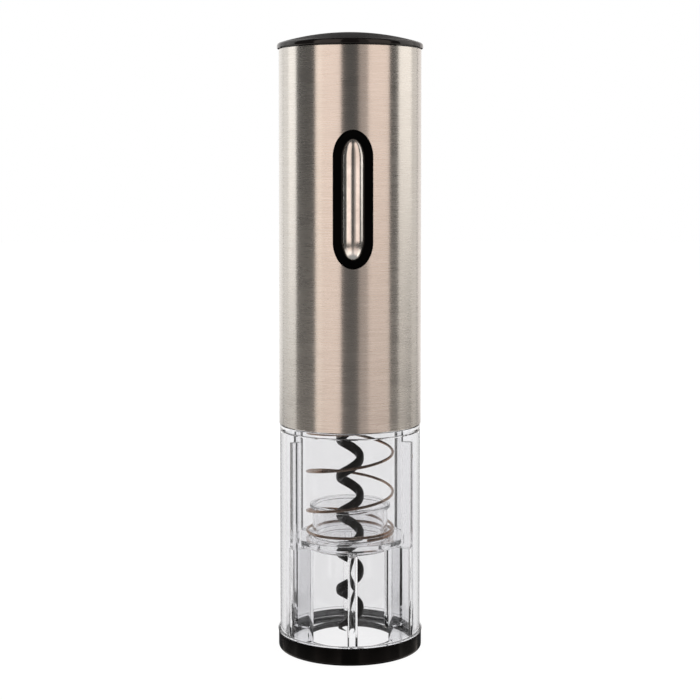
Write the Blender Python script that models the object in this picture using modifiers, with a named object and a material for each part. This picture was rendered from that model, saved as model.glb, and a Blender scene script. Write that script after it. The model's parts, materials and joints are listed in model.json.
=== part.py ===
"""Electric wine opener, modelled as its separate pieces.

A steel sleeve holds four cells, a motor and a two-stage planetary gearbox. Below it a clear guide
sits over the bottle's neck. A worm on the gearbox's spindle runs down the guide's middle, and a
sprung cup, which meets the bottle's lip, slides up around it. Units are metres, +Z is up, the
origin is the middle of the base, and the switch faces -Y.
"""
import math

import bmesh
import bpy
from mathutils import Matrix, Vector

MM = 0.001
TURN = 2 * math.pi

# Fits
GAP = 0.3 * MM  # left between pieces that touch or nest
MERGE = 0.001 * MM

# Steel sleeve
SLEEVE_RADIUS = 25.5 * MM
SLEEVE_WALL = 0.7 * MM
SLEEVE_LENGTH = 133.9 * MM

# Cap
CAP_OVERHANG = 0.65 * MM
CAP_RIM_HEIGHT = 1.7 * MM
CAP_DOME_RISE = 4.0 * MM
CAP_FLOOR = 2.1 * MM
CAP_SKIRT_DEPTH = 6.7 * MM
CAP_SKIRT_WALL = 1.3 * MM
CAP_BOARD_THICKNESS = 1.4 * MM

# Base ring
BASE_STEP = 0.3 * MM  # out from the sleeve
BASE_HEIGHT = 6.0 * MM
BASE_LIP_HEIGHT = 1.5 * MM
BASE_LIP_WIDTH = 1.5 * MM
BASE_WALL = 1.5 * MM
BASE_EDGE = 1.2 * MM

# Clear guide
GUIDE_HEIGHT = 81.1 * MM
GUIDE_STEP = 0.3 * MM  # in from the sleeve
GUIDE_WALL = 1.8 * MM
GUIDE_NECK = 5.0 * MM
GUIDE_NECK_WALL = 1.1 * MM
GUIDE_FLANGE = 0.5 * MM
GUIDE_FLANGE_OVERHANG = 0.8 * MM
GUIDE_FLOOR = 2.2 * MM
BOTTLE_NECK_WALL = 3.2 * MM  # from the cork's way to the outside of a bottle's mouth
RIB_COUNT = 6
RIB_HEIGHT = 34.0 * MM
RIB_WIDTH = 3.2 * MM
RAIL_HEIGHT = 38.0 * MM
RAIL_DEPTH = 3.0 * MM
RAIL_WIDTH = 2.0 * MM
RAIL_ANGLES = (60, 120, 240, 300)  # degrees from the front

# Cork cup
CORK_RADIUS = 12.4 * MM
CUP_WALL = 1.2 * MM
CUP_BOSS_WALL = 2.2 * MM
CUP_BOSS_DEPTH = 2.3 * MM
CUP_FLANGE = 2.4 * MM
CUP_COLLAR = 11.2 * MM
CUP_LIP = 0.9 * MM
CUP_LIP_HEIGHT = 1.2 * MM

# Return spring
SPRING_WIRE = 1.0 * MM
SPRING_CLEARANCE = 0.7 * MM  # from the cup's lip to the wire
SPRING_START = -2.385 * math.pi
SPRING_CLOSED_TURNS = 1.0
SPRING_BLEND_TURNS = 0.5
SPRING_OPEN_TURNS = 2.06
SPRING_CLOSED_PITCH = 1.1  # of the wire
SPRING_POINTS_PER_TURN = 12

# Worm
WORM_WIRE = 3.1 * MM
WORM_RADIUS = 3.5 * MM  # to the middle of the wire
WORM_PITCH = 13.8 * MM
WORM_TIP_Z = 3.8 * MM
WORM_TAPER = 9.0 * MM
WORM_LEFT_Z = 47.9 * MM  # a height at which the worm is at its furthest left
WORM_POINTS_PER_TURN = 12
CHUCK_RADIUS = 6.0 * MM
CHUCK_HEIGHT = 2.8 * MM
CHUCK_CROWN = 0.5 * MM

# Bulkhead and chassis
BULKHEAD_DROP = 0.6 * MM  # above the guide's shoulder
BULKHEAD_THICKNESS = 3.0 * MM
CHASSIS_WALL = 1.6 * MM
CHASSIS_FLANGE = 3.0 * MM
CHASSIS_CLEARANCE = 0.5 * MM  # round the gearbox
BULKHEAD_SCREW_CIRCLE = 20.6 * MM

# Gearbox
MODULE = 0.65 * MM
SUN_TEETH = 12
PLANET_TEETH = 15
RING_TEETH = SUN_TEETH + 2 * PLANET_TEETH
PLANETS = 3
GEAR_WIDTH = 6.0 * MM
GEARBOX_RADIUS = 17.6 * MM
GEARBOX_LENGTH = 20.0 * MM
END_PLATE = 2.5 * MM
TOP_PLATE = 2.0 * MM
CARRIER_THICKNESS = 2.0 * MM
PIN_RADIUS = 1.2 * MM
SPINDLE_RADIUS = 3.0 * MM
BUSH_WALL = 1.6 * MM
GEARBOX_SCREW_CIRCLE = 16.0 * MM

# Gear teeth: half widths as shares of the pitch, and heights in modules
TOOTH_ROOT_SHARE = 0.27
TOOTH_TIP_SHARE = 0.10
ADDENDUM = 0.85
DEDENDUM = 1.15

# Motor
MOTOR_RADIUS = 12.2 * MM
MOTOR_LENGTH = 30.0 * MM
MOTOR_WALL = 1.0 * MM
MOTOR_BOSS = 3.5 * MM
MOTOR_CAP = 3.5 * MM
SHAFT_RADIUS = 1.0 * MM
CORE_RADIUS = 8.5 * MM
CORE_LENGTH = 17.0 * MM
LEAD_RADIUS = 0.65 * MM
LEAD_SPREAD = 5.0 * MM
LEAD_END_SPREAD = 4.0 * MM
LEAD_START = 2.0 * MM
LEAD_RISE = 6.0 * MM

# Cells
CELL_RADIUS = 7.1 * MM
CELL_LENGTH = 50.5 * MM
CELL_STUD_RADIUS = 2.7 * MM
CELL_STUD_HEIGHT = 1.1 * MM
CONTACT_PLATE = 0.6 * MM
CONTACT_BOSS = 1.9 * MM
CONTACT_BOSS_SHARE = 0.8  # of a cell's stud
CONTACT_BOARD = 1.6 * MM
CRADLE_WALL = 1.2 * MM
CRADLE_CLEARANCE = 0.3 * MM

# Switch
SWITCH_HEIGHT = 80.8 * MM  # of the button's middle above the sleeve's lower edge
BUTTON_HALF_WIDTH = 4.15 * MM
BUTTON_HALF_HEIGHT = 21.6 * MM
BUTTON_END = 7.9 * MM
BUTTON_PROUD = 1.3 * MM
BUTTON_DEPTH = 6.2 * MM
BUTTON_EDGE = 2.4 * MM
BUTTON_CLEARANCE = 0.6 * MM
HINGE_DEPTH = 5.0 * MM
TRUNNION_RADIUS = 0.8 * MM
TRUNNION_LENGTH = 1.4 * MM
BEZEL_SIDE = 1.95 * MM
BEZEL_END = 1.5 * MM
BEZEL_FLANGE = 1.5 * MM
BEZEL_BACK = 5.0 * MM  # behind the sleeve's outer surface
PLUNGER_OFFSET = 14.0 * MM
PLUNGER_RADIUS = 1.2 * MM
PLUNGER_LENGTH = 2.4 * MM
PLUNGER_TRAVEL = 0.9 * MM
SWITCH_CASE = 6.4 * MM
SWITCH_CASE_DEPTH = 2.4 * MM
SWITCH_BOARD = 1.0 * MM
SWITCH_BOARD_HALF_WIDTH = 6.0 * MM
SWITCH_BOARD_HALF_HEIGHT = 22.0 * MM

# Screws
SCREW_RADIUS = 1.1 * MM
SCREW_HEAD_RADIUS = 1.9 * MM
SCREW_HEAD_HEIGHT = 1.2 * MM
SMALL_SCREW_RADIUS = 0.8 * MM
SMALL_HEAD_RADIUS = 1.4 * MM

# Facets of round pieces
LARGE = 32
MEDIUM = 20
SMALL = 10
DOME_STEPS = 5

# Worked-out sizes
SLEEVE_Z = GUIDE_HEIGHT + GAP
SLEEVE_TOP = SLEEVE_Z + SLEEVE_LENGTH
SLEEVE_BORE = SLEEVE_RADIUS - SLEEVE_WALL
BASE_RADIUS = SLEEVE_RADIUS + BASE_STEP
BASE_BORE = BASE_RADIUS - BASE_WALL
GUIDE_RADIUS = SLEEVE_RADIUS - GUIDE_STEP
SPIGOT_RADIUS = BASE_BORE - GAP
FLOOR_Z = BASE_LIP_HEIGHT + GAP
FLOOR_TOP = FLOOR_Z + GUIDE_FLOOR
GUIDE_BORE = GUIDE_RADIUS - GUIDE_WALL
BOTTLE_RADIUS = CORK_RADIUS + BOTTLE_NECK_WALL
RIB_TOP = FLOOR_TOP + RIB_HEIGHT
RAIL_RADIUS = GUIDE_BORE - RAIL_DEPTH
NECK_RADIUS = SLEEVE_BORE - GAP
NECK_BORE = NECK_RADIUS - GUIDE_NECK_WALL
NECK_TOP = GUIDE_HEIGHT + GUIDE_NECK
CUP_FLANGE_Z = RIB_TOP + GAP
CUP_FLANGE_TOP = CUP_FLANGE_Z + CUP_FLANGE
CUP_FLANGE_RADIUS = RAIL_RADIUS - GAP
CUP_TOP = CUP_FLANGE_TOP + CUP_COLLAR
CUP_LIP_RADIUS = CORK_RADIUS + CUP_WALL + CUP_LIP
BULKHEAD_Z = GUIDE_HEIGHT + BULKHEAD_DROP
BULKHEAD_TOP = BULKHEAD_Z + BULKHEAD_THICKNESS
GEARBOX_Z = BULKHEAD_TOP + GAP
RING_Z = GEARBOX_Z + END_PLATE + GAP
TOP_PLATE_Z = RING_Z + GEARBOX_LENGTH + GAP
MOTOR_Z = TOP_PLATE_Z + TOP_PLATE + GAP
MOTOR_CAP_Z = MOTOR_Z + MOTOR_LENGTH + GAP
CHASSIS_BORE = NECK_RADIUS - CHASSIS_WALL
CHASSIS_FLANGE_BORE = GEARBOX_RADIUS + CHASSIS_CLEARANCE
CAP_Z = SLEEVE_TOP + GAP
CHASSIS_TOP = CAP_Z - CAP_SKIRT_DEPTH - GAP
CAP_CEILING = CAP_Z - CAP_FLOOR
CAP_BOARD_Z = CAP_CEILING - GAP - CAP_BOARD_THICKNESS
CELL_TOP = CAP_BOARD_Z - GAP - CONTACT_PLATE - CONTACT_BOSS - GAP
CELL_Z = CELL_TOP - CELL_LENGTH
LOWER_PLATE_Z = CELL_Z - GAP - CONTACT_BOSS - CONTACT_PLATE
LOWER_BOARD_Z = LOWER_PLATE_Z - GAP - CONTACT_BOARD
CELL_OFFSET = CELL_RADIUS + GAP / 2
CRADLE_BORE = CELL_OFFSET * math.sqrt(2) + CELL_RADIUS + CRADLE_CLEARANCE
SWITCH_Z = SLEEVE_Z + SWITCH_HEIGHT
BUTTON_FRONT = SLEEVE_RADIUS + BUTTON_PROUD
BUTTON_BACK = BUTTON_FRONT - BUTTON_DEPTH
HINGE_Y = -(BUTTON_FRONT - HINGE_DEPTH)
BEZEL_HALF_WIDTH = BUTTON_HALF_WIDTH + BUTTON_CLEARANCE + BEZEL_SIDE
BEZEL_HALF_HEIGHT = BUTTON_HALF_HEIGHT + BUTTON_CLEARANCE + BEZEL_END
PLUNGER_FRONT = BUTTON_BACK - GAP
CASE_FRONT = PLUNGER_FRONT - PLUNGER_TRAVEL - GAP / 3
BOARD_FRONT = CASE_FRONT - SWITCH_CASE_DEPTH - GAP
BOARD_BACK = BOARD_FRONT - SWITCH_BOARD
ORBIT = MODULE * (SUN_TEETH + PLANET_TEETH) / 2
CARRIER_RADIUS = ORBIT + 2.5 * PIN_RADIUS
LOW_CARRIER_Z = RING_Z + GAP
LOW_GEAR_Z = LOW_CARRIER_Z + CARRIER_THICKNESS + GAP
HIGH_CARRIER_Z = LOW_GEAR_Z + GEAR_WIDTH + 2 * GAP
HIGH_GEAR_Z = HIGH_CARRIER_Z + CARRIER_THICKNESS + GAP
SPRING_RADIUS = CUP_LIP_RADIUS + SPRING_CLEARANCE + SPRING_WIRE / 2
CHUCK_Z = BULKHEAD_TOP - CHUCK_HEIGHT


def start():
    """Clear the scene and make a collection for the pieces and one for the cutters."""
    for obj in list(bpy.data.objects):
        bpy.data.objects.remove(obj, do_unlink=True)
    for name in ("electric_wine_opener", "cutters"):
        bpy.context.scene.collection.children.link(bpy.data.collections.new(name))


def material(name, colour, roughness, metallic=0.0, alpha=1.0):
    """A plain Principled material."""
    made = bpy.data.materials.new(name)
    made.use_nodes = True
    shader = made.node_tree.nodes["Principled BSDF"]
    shader.inputs["Base Color"].default_value = (*colour, 1.0)
    shader.inputs["Roughness"].default_value = roughness
    shader.inputs["Metallic"].default_value = metallic
    shader.inputs["Alpha"].default_value = alpha
    return made


def place(obj, name, finish=None):
    """Name an object, and put it with the pieces, or with the cutters if it has no finish."""
    obj.name = name
    for collection in list(obj.users_collection):
        collection.objects.unlink(obj)
    bpy.data.collections["electric_wine_opener" if finish else "cutters"].objects.link(obj)
    if finish:
        obj.data.materials.clear()
        obj.data.materials.append(finish)
        obj.data.shade_smooth()
        obj.data.set_sharp_from_angle(angle=math.radians(35))
    else:
        obj.hide_render = True
        obj.display_type = "WIRE"
    return obj


def from_bmesh(bm, name, finish=None):
    """Turn a bmesh into a placed object."""
    mesh = bpy.data.meshes.new(name)
    bm.to_mesh(mesh)
    bm.free()
    return place(bpy.data.objects.new(name, mesh), name, finish)


def turned(name, profile, facets, finish=None, ring=False):
    """Turn (radius, height) points about Z. They run down the outer side; a ring's come back up."""
    mesh = bpy.data.meshes.new(name)
    count = len(profile)
    edges = [(i, (i + 1) % count) for i in range(count if ring else count - 1)]
    mesh.from_pydata([(r, 0, z) for r, z in profile], edges, [])
    obj = place(bpy.data.objects.new(name, mesh), name, finish)
    screw = obj.modifiers.new("turn", "SCREW")
    screw.steps = screw.render_steps = facets
    screw.use_merge_vertices = True
    screw.merge_threshold = MERGE
    screw.use_smooth_shade = True
    return obj


def rod(name, radius, low, high, facets, finish=None, at=(0, 0), ring_bore=0.0):
    """An upright cylinder or tube between two heights."""
    if ring_bore:
        profile = [(radius, high), (radius, low), (ring_bore, low), (ring_bore, high)]
    else:
        profile = [(0, high), (radius, high), (radius, low), (0, low)]
    obj = turned(name, profile, facets, finish, ring=bool(ring_bore))
    obj.location = (at[0], at[1], 0)
    return obj


def box(name, low, high, finish=None, edge=0.0):
    """A box between two corners, with its edges bevelled."""
    bm = bmesh.new()
    middle = (Vector(low) + Vector(high)) / 2
    size = Vector(high) - Vector(low)
    bmesh.ops.create_cube(bm, size=1.0, matrix=Matrix.Translation(middle) @ Matrix.Diagonal((*size, 1)))
    obj = from_bmesh(bm, name, finish)
    if edge:
        bevel = obj.modifiers.new("edge", "BEVEL")
        bevel.width = edge
        bevel.segments = 1
    return obj


def as_mesh(obj, name, finish=None):
    """Replace a curve by a welded mesh of it."""
    bpy.context.view_layer.update()
    mesh = bpy.data.meshes.new_from_object(obj.evaluated_get(bpy.context.evaluated_depsgraph_get()))
    bm = bmesh.new()
    bm.from_mesh(mesh)
    bmesh.ops.remove_doubles(bm, verts=bm.verts, dist=MERGE)
    bm.to_mesh(mesh)
    bm.free()
    made = bpy.data.objects.new(name, mesh)
    made.matrix_world = obj.matrix_world.copy()
    bpy.data.objects.remove(obj, do_unlink=True)
    return place(made, name, finish)


def outline(name, loops, thickness, middle, finish=None, facing_front=False):
    """Extrude flat outlines, the first one outer and the rest holes, about their middle."""
    curve = bpy.data.curves.new(name, "CURVE")
    curve.dimensions = "2D"
    curve.fill_mode = "BOTH"
    curve.extrude = thickness / 2
    for loop in loops:
        spline = curve.splines.new("POLY")
        spline.points.add(len(loop) - 1)
        for point, (x, y) in zip(spline.points, loop):
            point.co = (x, y, 0, 1)
        spline.use_cyclic_u = True
    obj = bpy.data.objects.new(name, curve)
    bpy.context.scene.collection.objects.link(obj)
    obj.location = middle
    if facing_front:
        obj.rotation_euler = (math.pi / 2, 0, 0)
    return as_mesh(obj, name, finish)


def wire(name, points, radii, radius, finish):
    """A round wire through points, each with its share of the radius."""
    curve = bpy.data.curves.new(name, "CURVE")
    curve.dimensions = "3D"
    curve.bevel_depth = radius
    curve.bevel_resolution = 2
    curve.use_fill_caps = True
    spline = curve.splines.new("POLY")
    spline.points.add(len(points) - 1)
    for point, co, share in zip(spline.points, points, radii):
        point.co = (*co, 1)
        point.radius = share
    obj = bpy.data.objects.new(name, curve)
    bpy.context.scene.collection.objects.link(obj)
    return as_mesh(obj, name, finish)


def boolean(obj, other, operation):
    """Cut, join or intersect a piece with a cutter."""
    modifier = obj.modifiers.new(operation.lower(), "BOOLEAN")
    modifier.operation = operation
    modifier.object = other
    modifier.solver = "EXACT"


def move_origin(obj, point):
    """Put a piece's origin on a point, such as one on its joint's axis, without moving it."""
    shift = Vector(point) - obj.location
    obj.data.transform(Matrix.Translation(-shift))
    obj.location = Vector(point)


def around(count, radius, first=0.0):
    """Places spaced evenly on a circle, from an angle in radians."""
    angles = [first + TURN * k / count for k in range(count)]
    return [(radius * math.cos(a), radius * math.sin(a)) for a in angles]


def circle(radius, facets):
    """A circle's points."""
    return around(facets, radius)


def long_slot(half_width, half_height, end):
    """A tall slot whose ends are half ellipses, end being their half height."""
    straight = half_height - end
    angles = [math.pi * k / 8 for k in range(9)]
    top = [(half_width * math.cos(a), straight + end * math.sin(a)) for a in angles]
    return top + [(-x, -y) for x, y in top]


def spun(points, spin):
    """Flat points turned about the origin."""
    return [(x * math.cos(spin) - y * math.sin(spin), x * math.sin(spin) + y * math.cos(spin))
            for x, y in points]


def gear(teeth, first_tooth, inward=False):
    """A gear's outline. Its teeth point inward on a ring gear, and one is at first_tooth radians."""
    pitch_radius = MODULE * teeth / 2
    sign = -1 if inward else 1
    tip = pitch_radius + sign * ADDENDUM * MODULE
    root = pitch_radius - sign * DEDENDUM * MODULE
    step = TURN / teeth
    points = []
    for k in range(teeth):
        middle = first_tooth + k * step
        for radius, share in ((root, -TOOTH_ROOT_SHARE), (tip, -TOOTH_TIP_SHARE),
                              (tip, TOOTH_TIP_SHARE), (root, TOOTH_ROOT_SHARE)):
            angle = middle + share * step
            points.append((radius * math.cos(angle), radius * math.sin(angle)))
    return points


def screw_down(name, at, seat, length, finish, radius=SCREW_RADIUS, head=SCREW_HEAD_RADIUS, up=False):
    """A pan-head screw whose head sits on a height and whose shank runs down, or up, from it."""
    way = -1 if up else 1
    profile = [(0, seat + way * SCREW_HEAD_HEIGHT), (head, seat + way * SCREW_HEAD_HEIGHT * 0.6),
               (head, seat), (radius, seat), (radius, seat - way * length), (0, seat - way * length)]
    obj = turned(name, profile[::way], SMALL, finish)
    obj.location = (at[0], at[1], 0)
    return obj


def holes(obj, places, radius, low, high, name):
    """Drill upright holes through a piece."""
    for k, at in enumerate(places):
        boolean(obj, rod(f"{name}_{k + 1}", radius, low, high, SMALL, at=at), "DIFFERENCE")


def base(finish):
    """The black ring that the opener stands on."""
    arc = [(BASE_RADIUS - BASE_EDGE * (1 - math.cos(a)), BASE_EDGE * (1 - math.sin(a)))
           for a in (0, math.pi / 6, math.pi / 3, math.pi / 2)]
    lip = BASE_BORE - BASE_LIP_WIDTH
    profile = [(BASE_RADIUS, BASE_HEIGHT), *arc, (lip, 0), (lip, BASE_LIP_HEIGHT),
               (BASE_BORE, BASE_LIP_HEIGHT), (BASE_BORE, BASE_HEIGHT)]
    turned("base_ring", profile, LARGE, finish, ring=True)


def guide(finish):
    """The clear guide: a tube with a floor, six ribs that centre the bottle and four rails."""
    seat = BASE_HEIGHT + GAP
    flange = GUIDE_RADIUS + GUIDE_FLANGE_OVERHANG
    profile = [(NECK_RADIUS, NECK_TOP), (NECK_RADIUS, GUIDE_HEIGHT), (GUIDE_RADIUS, GUIDE_HEIGHT),
               (GUIDE_RADIUS, seat + GUIDE_FLANGE), (flange, seat + GUIDE_FLANGE), (flange, seat),
               (SPIGOT_RADIUS, seat), (SPIGOT_RADIUS, FLOOR_Z), (BOTTLE_RADIUS + GAP, FLOOR_Z),
               (BOTTLE_RADIUS + GAP, FLOOR_TOP), (GUIDE_BORE, FLOOR_TOP), (GUIDE_BORE, NECK_TOP)]
    tube = turned("clear_housing", profile, LARGE, finish, ring=True)
    buried = (min(SPIGOT_RADIUS, GUIDE_RADIUS) - GUIDE_BORE) / 2
    for k in range(RIB_COUNT):
        spin = -math.pi / 2 + TURN * k / RIB_COUNT
        nose = [(BOTTLE_RADIUS + RIB_WIDTH / 2 * (1 - math.cos(a)), RIB_WIDTH / 2 * math.sin(a))
                for a in [math.pi * j / 6 - math.pi / 2 for j in range(7)]]
        back = GUIDE_BORE + buried
        flat = [(back, -RIB_WIDTH / 2), *nose, (back, RIB_WIDTH / 2)]
        low = FLOOR_TOP - GUIDE_FLOOR / 2
        rib = outline(f"rib_{k + 1}", [spun(flat, spin)], RIB_TOP - low, (0, 0, (RIB_TOP + low) / 2))
        boolean(tube, rib, "UNION")
    for degrees in RAIL_ANGLES:
        spin = math.radians(degrees) - math.pi / 2
        flat = [(RAIL_RADIUS, -RAIL_WIDTH / 2), (GUIDE_BORE + buried, -RAIL_WIDTH / 2),
                (GUIDE_BORE + buried, RAIL_WIDTH / 2), (RAIL_RADIUS, RAIL_WIDTH / 2)]
        low = RIB_TOP - RIB_WIDTH / 2
        high = RIB_TOP + RAIL_HEIGHT
        rail = outline(f"rail_{degrees}", [spun(flat, spin)], high - low, (0, 0, (high + low) / 2))
        boolean(tube, rail, "UNION")


def cup(finish):
    """The clear cup that meets the bottle's lip and slides up round the worm."""
    boss = CORK_RADIUS + CUP_BOSS_WALL
    collar = CORK_RADIUS + CUP_WALL
    profile = [(CUP_LIP_RADIUS, CUP_TOP), (CUP_LIP_RADIUS, CUP_TOP - CUP_LIP_HEIGHT),
               (collar, CUP_TOP - CUP_LIP_HEIGHT), (collar, CUP_FLANGE_TOP),
               (CUP_FLANGE_RADIUS, CUP_FLANGE_TOP), (CUP_FLANGE_RADIUS, CUP_FLANGE_Z),
               (boss, CUP_FLANGE_Z), (boss, CUP_FLANGE_Z - CUP_BOSS_DEPTH),
               (CORK_RADIUS, CUP_FLANGE_Z - CUP_BOSS_DEPTH), (CORK_RADIUS, CUP_TOP)]
    turned("cork_cup", profile, LARGE, finish, ring=True)


def spring(finish):
    """The return spring, its end turns closed on the cup's flange and under the bulkhead."""
    low = CUP_FLANGE_TOP + GAP + SPRING_WIRE / 2
    high = BULKHEAD_Z - GAP - SPRING_WIRE / 2
    closed = SPRING_CLOSED_PITCH * SPRING_WIRE
    turns = 2 * (SPRING_CLOSED_TURNS + SPRING_BLEND_TURNS) + SPRING_OPEN_TURNS
    open_share = SPRING_OPEN_TURNS + SPRING_BLEND_TURNS
    pitch = (high - low - closed * (turns - open_share)) / open_share

    def opening(turn):
        """How far the pitch has opened, from 0 on the end turns to 1 in the middle."""
        inside = min(turn, turns - turn) - SPRING_CLOSED_TURNS
        return max(0.0, min(1.0, inside / SPRING_BLEND_TURNS))

    steps = round(turns * SPRING_POINTS_PER_TURN)
    height = low
    points = []
    for k in range(steps + 1):
        turn = turns * k / steps
        if k:
            share = (opening(turn) + opening(turns * (k - 1) / steps)) / 2
            height += (closed + (pitch - closed) * share) * turns / steps
        angle = SPRING_START + TURN * turn
        points.append((SPRING_RADIUS * math.cos(angle), SPRING_RADIUS * math.sin(angle), height))
    wire("return_spring", points, [1.0] * len(points), SPRING_WIRE / 2, finish)


def worm(finish, steel):
    """The worm, tapered to a point, and the chuck that its straight shank sits in."""
    top = CHUCK_Z + CHUCK_HEIGHT - CHUCK_CROWN - GAP
    gather = WORM_PITCH / 4  # the height over which the last turn comes in to the axis
    last = CHUCK_Z - WORM_WIRE / 2
    first = last - gather
    count = math.ceil((last - WORM_TIP_Z) / WORM_PITCH * WORM_POINTS_PER_TURN)
    points, radii = [], []
    for k in range(count + 1):
        z = WORM_TIP_Z + (last - WORM_TIP_Z) * k / count
        angle = math.pi + TURN * (z - WORM_LEFT_Z) / WORM_PITCH
        inward = max(0.0, min(1.0, (z - first) / gather))
        radius = WORM_RADIUS * (1 - inward * inward * (3 - 2 * inward))
        points.append((radius * math.cos(angle), radius * math.sin(angle), z))
        radii.append(max(0.1, min(1.0, (z - WORM_TIP_Z) / WORM_TAPER) ** 0.7))
    points.append((0, 0, top))
    radii.append(1.0)
    wire("worm", points, radii, WORM_WIRE / 2, finish)
    crown = CHUCK_Z + CHUCK_HEIGHT - CHUCK_CROWN
    socket = WORM_WIRE / 2 + GAP
    profile = [(0, CHUCK_Z + CHUCK_HEIGHT), (CHUCK_RADIUS, CHUCK_Z + CHUCK_HEIGHT), (CHUCK_RADIUS, CHUCK_Z),
               (socket, CHUCK_Z), (socket, crown), (0, crown)]
    turned("worm_chuck", profile, MEDIUM, steel)


def bulkhead(finish, steel):
    """The plate that closes the motor body, the spring's upper seat, and its four screws."""
    bore = CHUCK_RADIUS + 2.5 * GAP
    plate = rod("bulkhead", NECK_BORE - GAP, BULKHEAD_Z, BULKHEAD_TOP, LARGE, finish, ring_bore=bore)
    places = around(4, BULKHEAD_SCREW_CIRCLE, math.pi / 4)
    seat = BULKHEAD_TOP - SCREW_HEAD_HEIGHT - GAP
    holes(plate, places, SCREW_HEAD_RADIUS + GAP, BULKHEAD_Z - GAP, seat, "screw_recess")
    holes(plate, places, SCREW_RADIUS + GAP, seat - GAP, BULKHEAD_TOP + GAP, "screw_way")
    for k, at in enumerate(places):
        screw_down(f"bulkhead_screw_{k + 1}", at, seat - GAP, 2 * GAP + BULKHEAD_THICKNESS, steel, up=True)


def chassis(finish):
    """The two halves of the inner tube, with a flange at the bottom and a window for the switch."""
    profile = [(NECK_RADIUS, CHASSIS_TOP), (NECK_RADIUS, NECK_TOP + GAP), (NECK_BORE - GAP, NECK_TOP + GAP),
               (NECK_BORE - GAP, GEARBOX_Z), (CHASSIS_FLANGE_BORE, GEARBOX_Z),
               (CHASSIS_FLANGE_BORE, GEARBOX_Z + CHASSIS_FLANGE), (CHASSIS_BORE, GEARBOX_Z + CHASSIS_FLANGE),
               (CHASSIS_BORE, CHASSIS_TOP)]
    places = around(4, BULKHEAD_SCREW_CIRCLE, math.pi / 4)
    reach = 2 * SLEEVE_RADIUS
    half_width = BEZEL_HALF_WIDTH + BEZEL_FLANGE + 2 * GAP
    half_height = BEZEL_HALF_HEIGHT + BEZEL_FLANGE + 2 * GAP
    for name, side in (("chassis_front", -1), ("chassis_rear", 1)):
        half = turned(name, profile, LARGE, finish, ring=True)
        waste = box(f"{name}_waste", (-reach, min(-side * reach, side * GAP / 2), 0),
                    (reach, max(-side * reach, side * GAP / 2), SLEEVE_TOP + reach))
        boolean(half, waste, "DIFFERENCE")
        holes(half, [at for at in places if at[1] * side > 0], SCREW_RADIUS + GAP, GEARBOX_Z - GAP,
              GEARBOX_Z + CHASSIS_FLANGE + GAP, f"{name}_screw_way")
        if side < 0:
            window = box("switch_window", (-half_width, -reach, SWITCH_Z - half_height),
                         (half_width, 0, SWITCH_Z + half_height))
            boolean(half, window, "DIFFERENCE")


def sleeve(finish):
    """The brushed steel sleeve with the opening for the switch."""
    tube = rod("body_sleeve", SLEEVE_RADIUS, SLEEVE_Z, SLEEVE_TOP, LARGE, finish, ring_bore=SLEEVE_BORE)
    hole = long_slot(BEZEL_HALF_WIDTH + GAP, BEZEL_HALF_HEIGHT + GAP, BUTTON_END + BEZEL_END)
    cutter = outline("sleeve_slot", [hole], SLEEVE_RADIUS, (0, -SLEEVE_RADIUS, SWITCH_Z), facing_front=True)
    boolean(tube, cutter, "DIFFERENCE")


def cap(finish, board_finish, steel):
    """The domed cap, and the board and contacts that join the cells' upper ends."""
    rim = SLEEVE_RADIUS + CAP_OVERHANG
    ball = (rim * rim + CAP_DOME_RISE * CAP_DOME_RISE) / (2 * CAP_DOME_RISE)
    shoulder = CAP_Z + CAP_RIM_HEIGHT
    half_angle = math.asin(rim / ball)
    apex = shoulder + CAP_DOME_RISE
    dome = [(ball * math.sin(a), apex - ball * (1 - math.cos(a)))
            for a in [half_angle * k / DOME_STEPS for k in range(DOME_STEPS + 1)]]
    plug = SLEEVE_BORE - GAP
    skirt = CAP_Z - CAP_SKIRT_DEPTH
    profile = [*dome, (rim, CAP_Z), (plug, CAP_Z), (plug, skirt), (plug - CAP_SKIRT_WALL, skirt),
               (plug - CAP_SKIRT_WALL, CAP_CEILING), (0, CAP_CEILING)]
    turned("top_cap", profile, LARGE, finish)
    rod("cap_contact_board", plug - CAP_SKIRT_WALL - GAP, CAP_BOARD_Z, CAP_BOARD_Z + CAP_BOARD_THICKNESS,
        LARGE, board_finish)
    for k, side in enumerate((-1, 1)):
        contact(f"cap_contact_{k + 1}", (0, side * CELL_OFFSET), True, CAP_BOARD_Z - GAP, -1, steel)


def contact(name, at, along_x, face, way, finish):
    """A strip that bridges two cells, with a boss for each. It hangs down (-1) or stands up (1)."""
    half_length = CELL_OFFSET + CELL_STUD_RADIUS
    half = (half_length, CELL_STUD_RADIUS) if along_x else (CELL_STUD_RADIUS, half_length)
    low, high = sorted((face, face + way * CONTACT_PLATE))
    corners = [(at[0] + side * half[0], at[1] + side * half[1]) for side in (-1, 1)]
    strip = box(name, (*corners[0], low), (*corners[1], high), finish)
    low, high = sorted((face + way * CONTACT_PLATE / 2, face + way * (CONTACT_PLATE + CONTACT_BOSS)))
    for k, end in enumerate((-CELL_OFFSET, CELL_OFFSET)):
        over = (at[0] + end, at[1]) if along_x else (at[0], at[1] + end)
        boss = rod(f"{name}_boss_{k + 1}", CELL_STUD_RADIUS * CONTACT_BOSS_SHARE, low, high, SMALL, at=over)
        boolean(strip, boss, "UNION")


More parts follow.
